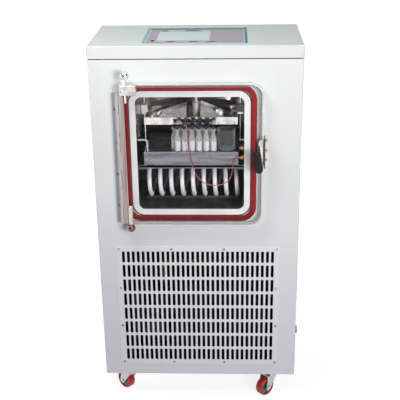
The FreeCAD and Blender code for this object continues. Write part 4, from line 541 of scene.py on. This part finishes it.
FINISH = {
    # the low colours of the panels and grille are painted shade, darker towards the floor
    "panel": surface("panel_coat", coat(rgb(230, 235, 233), rgb(225, 230, 228), low=rgb(222, 219, 228))),
    "pan": surface("pan_coat", coat(rgb(222, 219, 228), rgb(214, 212, 220))),
    "cap": surface("cap_coat", coat(rgb(216, 226, 220), rgb(209, 220, 213), shine=0.3,
                                    front=rgb(223, 227, 226))),
    "grille": surface("grille_coat", coat(rgb(235, 238, 238), rgb(230, 233, 233), low=rgb(229, 227, 234))),
    # the fixed leaf is painted grey as the shadow beside the hinge
    "leaf": surface("leaf_coat_shadow", coat(rgb(200, 198, 202), rgb(190, 188, 194))),
    "screw": surface("dull_zinc", polished(rgb(120, 118, 118), 0.4, 0.6)),
    # the works behind the grille are painted nearly black as shade
    "shade_dark_works": surface("frame_coat_shade", coat(rgb(46, 48, 50), rgb(34, 36, 38), 0.5)),
    "zinc": surface("zinc_plate", zinc),
    "chamber": surface("chamber_steel", chamber_steel),
    "strip": surface("hinge_strip", hinge_strip),
    "balls": surface("ball_finish", ball_finish),
    "latch": surface("latch_steel", latch_steel),
    "shelf": surface("shelf_steel", brushed(rgb(150, 148, 156), rgb(104, 102, 112), "X", 0.22)),
    "rail": surface("rail_steel", brushed(rgb(120, 116, 118), rgb(84, 82, 88), "Y", 0.2)),
    "polished": surface("polished_steel", polished(rgb(234, 231, 228))),
    "spindle": surface("turned_steel", polished(rgb(238, 235, 230), 0.3, 0.45)),
    "block": surface("block_steel", polished(rgb(232, 229, 226), 0.3, 0.35)),
    "foam": surface("rigid_foam", foam),
    "gasket": surface("red_silicone", gasket),
    "acrylic": surface("clear_sheet", acrylic),
    "glass": surface("clear_glass", clear(rgb(252, 253, 253), 0.19, 0.95)),
    "jar": surface("jar_glass", clear(rgb(208, 214, 216), 0.05, 0.7, 0.04, 0.28)),
    "stopper": surface("stopper_rubber", moulded(rgb(34, 40, 58), rgb(20, 24, 38), 0.4)),
    "rubber": surface("black_rubber", moulded(rgb(40, 40, 42), rgb(28, 28, 30), 0.6)),
    "black": surface("black_plastic", moulded(rgb(36, 40, 46), rgb(26, 28, 34), 0.32)),
    "knob": surface("grip_plastic", moulded(rgb(34, 32, 38), rgb(24, 23, 28), 0.4, 900.0, 0.00006, 0.2)),
    "enamel": surface("compressor_enamel", moulded(rgb(30, 30, 32), rgb(20, 20, 22), 0.2, 500.0, 0.00005)),
    "nylon": surface("white_nylon", moulded(rgb(238, 238, 232), rgb(222, 222, 214), 0.4)),
    "tube": surface("pale_tube", moulded(rgb(214, 210, 200), rgb(190, 186, 176), 0.35)),
    "lead": surface("probe_lead", moulded(rgb(214, 120, 128), rgb(186, 92, 104), 0.4)),
    "frost": surface("frosted_tube", frost),
    "copper": surface("copper_pipe", copper),
    "brass": surface("turned_brass", brass),
    "fins": surface("finned_block", fins),
    "film": surface("control_film", control_film),
    "screen": surface("display_glass", screen),
    "lens": surface("lamp_lens", moulded(rgb(14, 14, 18), rgb(8, 8, 10), 0.5, 400.0, 0.00001, 0.1)),
    "cake": surface("dried_product", cake),
    "key": surface("key_film", moulded(rgb(56, 56, 104), rgb(42, 44, 84), 0.45, shine=0.1)),
}
CASTER_HEADINGS = {"front_left": 135, "front_right": 225, "rear_left": 300, "rear_right": 150}     # degrees
LOOKS = {
    "panel": ("front_panel", "side_panel_left", "side_panel_right", "rear_panel"),
    "grille": ("grille_panel",),
    "leaf": ("hinge_leaf_fixed",),
    "screw": ("panel_screws",),
    "pan": ("base_pan",),
    "cap": ("top_cap",),
    "shade_dark_works": ("inner_frame", "electrical_box", "fan_shroud"),
    "zinc": ("caster_plates", *("caster_fork_" + corner for corner in CASTER_HEADINGS)),
    "strip": ("hinge_leaf_door",),
    "latch": ("latch_post",),
    "shelf": ("shelf_box", "lower_shelf"),
    "rail": ("shelf_rails",),
    "chamber": ("chamber_box",),
    "polished": ("press_plate", "guide_rods", "hinge_rod", "vacuum_port", "latch_rose"),
    "spindle": ("press_spindle",),
    "block": ("hinge_blocks",),
    "balls": ("ball_pins",),
    "foam": ("chamber_insulation",),
    "gasket": ("door_gasket",),
    "acrylic": ("door_plate",),
    "glass": ("vials",),
    "jar": ("glass_jar",),
    "stopper": ("stoppers",),
    "rubber": ("compressor_feet",),
    "black": ("press_drive", "fan_motor", "fan_blades", "power_inlet", "drain_valve_knob"),
    "knob": ("latch_knob",),
    "enamel": ("compressor",),
    "nylon": ("guide_blocks",),
    "tube": ("fluid_tubes",),
    "frost": ("condenser_coil",),
    "copper": ("refrigerant_pipes",),
    "brass": ("brass_fittings", "drain_valve_body"),
    "fins": ("heat_exchanger",),
    "film": ("control_bezel",),
    "screen": ("display_screen",),
    "lens": ("indicator_lamp",),
}


def dress(piece, finish):
    """Gives a piece one material in place of whatever it has."""
    piece.data.materials.clear()
    piece.data.materials.append(finish)


for look, names in LOOKS.items():
    for name in names:
        dress(NODES[name], FINISH[look])

for corner, heading in CASTER_HEADINGS.items():
    low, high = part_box("caster_wheel_" + corner)
    turn = math.radians(heading)
    middle = tuple((a + b) / 2 for a, b in zip(low, high))
    finish = surface("tread_" + corner, wheel_finish(middle, (-math.sin(turn), math.cos(turn), 0.0)))
    dress(NODES["caster_wheel_" + corner], finish)


# ---------------------------------------------------------------- mesh helpers
def solid(name, body, finish, build, smooth=True):
    """A new piece made with bmesh: build(mesh) draws it in the row frame."""
    mesh = bmesh.new()
    build(mesh)
    bmesh.ops.recalc_face_normals(mesh, faces=mesh.faces)
    data = bpy.data.meshes.new(name)
    mesh.to_mesh(data)
    mesh.free()
    for face in data.polygons:
        face.use_smooth = smooth
    piece = bpy.data.objects.new(name, data)
    bpy.context.scene.collection.objects.link(piece)
    dress(piece, finish)
    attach(piece, body)


def lathe(mesh, centre, axis, profile, steps):
    """Turns (radius, height) points about an axis through centre."""
    axis = Vector(axis).normalized()
    side = axis.orthogonal().normalized()
    other = axis.cross(side)
    turn = [2 * math.pi * k / steps for k in range(steps)]
    rings = []
    for radius, height in profile:
        middle = Vector(centre) + axis * height
        if radius:
            rings.append([mesh.verts.new(middle + side * radius * math.cos(a) + other * radius * math.sin(a))
                          for a in turn])
        else:
            rings.append([mesh.verts.new(middle)])
    for low, high in zip(rings, rings[1:]):
        for k in range(steps):
            n = k + 1
            ring = (low[k % len(low)], low[n % len(low)], high[n % len(high)], high[k % len(high)])
            corners = list(dict.fromkeys(ring))
            if len(corners) > 2:
                mesh.faces.new(corners)


def slab(mesh, outline, thickness):
    """A flat sheet: a level outline of points and the same outline raised."""
    lower = [mesh.verts.new(point) for point in outline]
    upper = [mesh.verts.new(point + Vector((0, 0, thickness))) for point in outline]
    mesh.faces.new(lower)
    mesh.faces.new(upper[::-1])
    for k in range(len(outline)):
        n = (k + 1) % len(outline)
        mesh.faces.new([lower[k], lower[n], upper[n], upper[k]])


# ---------------------------------------------------------------- the load
VIAL_BASE = 887.0
VIAL_FLOOR = 1.6
VIAL_PITCH = 22.6
VIAL_FIRST = (-61.0, 42.0)
VIAL_ROWS = ((0.0, 6), (-0.5, 6), (1.0, 4))     # first place, in pitches, and number of vials
VIAL_PLACES = [(VIAL_FIRST[0] + (first + k) * VIAL_PITCH, VIAL_FIRST[1] + row * VIAL_PITCH * math.sqrt(3) / 2)
               for row, (first, count) in enumerate(VIAL_ROWS) for k in range(count)]
CAKE_R = 0.0088
CAKE_HEIGHT = 0.030
CAKE_EDGE = 0.0012


def vial_cakes(mesh):
    """Dried product in each vial: a plug with an uneven, slightly shrunken top."""
    chance = random.Random(7)
    for x, y in VIAL_PLACES:
        top = CAKE_HEIGHT + chance.uniform(-CAKE_EDGE, CAKE_EDGE)
        lathe(mesh, at(x, y, VIAL_BASE + VIAL_FLOOR), (0, 0, 1),
              [(0, 0), (CAKE_R - 0.0016, 0), (CAKE_R, CAKE_EDGE), (CAKE_R, top - CAKE_EDGE),
               (CAKE_R - 0.0008, top), (CAKE_R - 0.0048, top - 0.0008), (0, top - CAKE_EDGE)], 20)


solid("vial_cakes", "cabinet", FINISH["cake"], vial_cakes)


# ---------------------------------------------------------------- fasteners and small fittings
SCREW_X = (-219.0, -186.0)
SCREW_Y = -50.3
SCREW_Z = 1104.5
BOLT_X = (-128.0, -22.0)
BOLT_Y = 60.0
CEILING = 1072.8
ROUND_STEPS = 18


def cap_screw(mesh, centre, out, head=0.0035, tall=0.003, chamfer=0.0005):
    """Socket head screw standing out along a direction: chamfered head with a sunk socket."""
    socket, sunk = head * 0.5, tall * 0.4
    lathe(mesh, centre, out, [(0, 0), (head, 0), (head, tall - chamfer), (head - chamfer, tall),
                              (socket, tall), (socket, sunk), (0, sunk)], ROUND_STEPS)


def block_screws(mesh):
    """Two cap screws on the front of the upper hinge block."""
    for x in SCREW_X:
        cap_screw(mesh, at(x, SCREW_Y, SCREW_Z), (0, -1, 0))


def ceiling_bolts(mesh):
    """A washer, a bare shank and a nut with a rounded end, hanging from the ceiling."""
    washer, shank, nut = 0.0085, 0.0042, 0.0056
    for x in BOLT_X:
        lathe(mesh, at(x, BOLT_Y, CEILING), (0, 0, -1),
              [(0, 0), (washer, 0), (washer, 0.0012), (shank, 0.0016), (shank, 0.007),
               (nut, 0.007), (nut, 0.0118), (nut - 0.0008, 0.0126), (0, 0.0126)], ROUND_STEPS)


solid("block_screws", "door", FINISH["polished"], block_screws)
solid("ceiling_bolts", "cabinet", FINISH["polished"], ceiling_bolts)

KEYS = ((-76.0, 51.5, 1230.0, 30.0), (-7.0, 51.5, 1230.0, 26.0), (47.0, 51.5, 1230.0, 26.0),
        (-106.0, 226.0, 1229.5, 23.0), (-14.5, 226.0, 1229.5, 50.0))     # x, y, the face they lie on, width
KEY_R = 4.0
KEY_LAYERS = ((0.0, 0.35, 0.0), (0.35, 0.25, 1.0))      # bottom, thickness and inset, in millimetres
KEY_STEPS = 24


def pill(x, y, z, width, inset):
    """The outline of a key: straight sides and round ends."""
    reach, radius = width / 2 - KEY_R - inset, KEY_R - inset
    turns = [2 * math.pi * (k + 0.5) / KEY_STEPS for k in range(KEY_STEPS)]
    return [at(x + math.copysign(reach, math.cos(a)) + radius * math.cos(a), y + radius * math.sin(a), z)
            for a in turns]


def key_pads(mesh):
    """Membrane keys along the front and back edges of the control panel."""
    for x, y, face, width in KEYS:
        for bottom, thickness, inset in KEY_LAYERS:
            slab(mesh, pill(x, y, face + bottom, width, inset), thickness / 1000)


solid("key_pads", "cabinet", FINISH["key"], key_pads, smooth=False)


# ---------------------------------------------------------------- probe lead
PROBE_POINTS = (
    (132.0, 22.0, 871.0), (119.0, 22.0, 867.0), (113.0, 23.0, 845.0), (110.0, 24.0, 816.0),
    (101.0, 24.0, 793.0), (82.0, 23.0, 780.0), (56.0, 23.0, 776.0), (32.0, 23.0, 780.0),
    (12.0, 23.0, 792.0), (-3.0, 23.0, 812.0), (-14.5, 22.0, 838.0), (-21.5, 21.0, 866.0),
    (-25.5, 20.0, 896.0), (-29.0, 20.0, 924.0), (-29.9, 19.5, 944.0), (-30.9, 20.0, 961.0),
    (-30.9, 20.8, 974.5), (-33.1, 26.8, 981.3), (-36.2, 35.7, 981.3), (-38.4, 42.0, 974.5),
    (-38.4, 42.0, 966.0))
LEAD_R = 0.0013


def probe_lead():
    """The lead as a curve from its gland to the vial that it measures."""
    route = bpy.data.curves.new("probe_lead", "CURVE")
    route.dimensions = "3D"
    line = route.splines.new("NURBS")
    line.points.add(len(PROBE_POINTS) - 1)
    for point, where in zip(line.points, PROBE_POINTS):
        point.co = (*at(*where), 1.0)
    line.order_u = 3
    line.use_endpoint_u = True
    line.resolution_u = 8
    route.bevel_depth = LEAD_R
    route.bevel_resolution = 4
    lead = bpy.data.objects.new("probe_lead", route)
    bpy.context.scene.collection.objects.link(lead)
    dress(lead, FINISH["lead"])
    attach(lead, "cabinet")
    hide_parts("probe_wire")


probe_lead()


# ---------------------------------------------------------------- studio
WHITE = (1.0, 1.0, 1.0, 1.0)
ROOM_FRONT = 0.06                       # grey of the room in reflections, in front and below
AMBIENT = (0.10, 0.22)                  # grey of the light from below and from above
FLOOR_REACH = 14.0
FLOOR_WHITE = 0.84                      # strength of the floor's glow near the object, and where it reaches 1
FLOOR_FADE = (0.5, 2.5)
LAMPS = (                               # name, place, target, size and power
    ("key", (1.2, -2.5, 1.45), (0.0, -0.15, 0.8), (0.8, 0.8), 48.0),
    ("high", (-0.45, -0.75, 2.0), (-0.25, -0.15, 1.2), (0.6, 0.4), 9.0),
    ("top", (0.5, 0.1, 2.9), (0.3, 0.1, 1.2), (1.2, 1.2), 3.2),
    ("left", (-2.6, 0.4, 0.9), (0.0, 0.1, 0.7), (1.0, 1.0), 26.0),
    ("rear", (0.6, 2.9, 0.75), (0.0, 0.1, 0.7), (0.9, 0.7), 34.0),
)
CAMERA_PLACE = (111.9, -2514.2, 1743.9)
CAMERA_TURN = (-2.351, 21.825, -0.854)  # to the right, down and rolled, in degrees
CAMERA_LENS = 76.89
SENSOR = 36.0


def seen_ray(tree):
    """1 for rays from the camera, in gloss and through glass."""
    path = node(tree, "ShaderNodeLightPath").outputs
    either = calc(tree, "MAXIMUM", path["Is Camera Ray"], path["Is Glossy Ray"])
    return calc(tree, "MAXIMUM", either, path["Is Transmission Ray"])


def floor_paint():
    """Floor: keeps the shadow, and shows paler to the camera, to gloss and through glass."""
    made, tree = blank("floor_paint")
    colour = mottle(tree, noise(tree, 4.0, detail=2.0), rgb(150, 150, 152), rgb(140, 140, 142), 0.3)
    matt = node(tree, "ShaderNodeBsdfDiffuse", {"Color": colour})
    x, y, _ = axes(tree)
    away = calc(tree, "SQRT", calc(tree, "ADD", product(tree, x, x), product(tree, y, y)))
    glow = node(tree, "ShaderNodeEmission",
                {"Color": WHITE, "Strength": spread(tree, away, *FLOOR_FADE, FLOOR_WHITE, 1.0)})
    both = node(tree, "ShaderNodeAddShader", {0: matt.outputs[0], 1: glow.outputs[0]})
    choice = node(tree, "ShaderNodeMixShader", {0: seen_ray(tree), 1: matt.outputs[0], 2: both.outputs[0]})
    output = node(tree, "ShaderNodeOutputMaterial")
    tree.links.new(choice.outputs[0], output.inputs["Surface"])
    return made


def floor():
    """The ground that the shadow falls on."""
    sheet = bpy.data.meshes.new("floor")
    corners = [(x * FLOOR_REACH, y * FLOOR_REACH, 0) for x, y in ((-1, -1), (1, -1), (1, 1), (-1, 1))]
    sheet.from_pydata(corners, [], [(0, 1, 2, 3)])
    ground = bpy.data.objects.new("floor", sheet)
    bpy.context.scene.collection.objects.link(ground)
    dress(ground, floor_paint())


def room():
    """White to the camera; in reflections dark in front and white behind and above; dim as a light."""
    world = bpy.data.worlds.new("studio")
    world.use_nodes = True
    tree = world.node_tree
    tree.nodes.clear()
    path = node(tree, "ShaderNodeLightPath").outputs
    _, back, up = node(tree, "ShaderNodeSeparateXYZ",
                       {0: node(tree, "ShaderNodeTexCoord").outputs["Generated"]}).outputs
    bright = calc(tree, "MAXIMUM", spread(tree, back, -0.4, 0.5), spread(tree, up, 0.35, 0.9))
    reflected = greys(tree, bright, ROOM_FRONT, 1.0)
    ambient = greys(tree, spread(tree, up, -0.2, 0.9), *AMBIENT)
    mirror = calc(tree, "MAXIMUM", path["Is Glossy Ray"], path["Is Transmission Ray"])
    base = mix(tree, path["Is Camera Ray"], mix(tree, mirror, ambient, reflected), WHITE)
    sky = node(tree, "ShaderNodeBackground", {"Color": base, "Strength": 1.0})
    output = node(tree, "ShaderNodeOutputWorld")
    tree.links.new(sky.outputs[0], output.inputs["Surface"])
    bpy.context.scene.world = world


def lamps():
    """White area lamps, each turned to its target."""
    for name, spot, target, size, power in LAMPS:
        data = bpy.data.lights.new(name, "AREA")
        data.shape = "RECTANGLE"
        data.size, data.size_y = size
        data.energy = power
        lamp = bpy.data.objects.new(name, data)
        lamp.location = spot
        lamp.rotation_euler = (Vector(target) - Vector(spot)).to_track_quat("-Z", "Y").to_euler()
        bpy.context.scene.collection.objects.link(lamp)


def camera():
    """Eye level above the lid, looking down a little, turned and rolled as it was held."""
    yaw, pitch, roll = (math.radians(angle) for angle in CAMERA_TURN)
    ahead = Vector((math.sin(yaw) * math.cos(pitch), math.cos(yaw) * math.cos(pitch), -math.sin(pitch)))
    right = Vector((math.cos(yaw), -math.sin(yaw), 0))
    up = right.cross(ahead)
    side = right * math.cos(roll) + up * math.sin(roll)
    top = up * math.cos(roll) - right * math.sin(roll)
    data = bpy.data.cameras.new("view")
    data.lens = CAMERA_LENS
    data.sensor_width = SENSOR
    data.clip_start = 0.01
    seat = bpy.data.objects.new("view", data)
    bpy.context.scene.collection.objects.link(seat)
    turn = Matrix((side, top, -ahead)).transposed()
    seat.matrix_world = Matrix.Translation(at(*CAMERA_PLACE)) @ turn.to_4x4()
    bpy.context.scene.camera = seat


bpy.context.scene.view_settings.view_transform = "Standard"
room()
floor()
lamps()
camera()
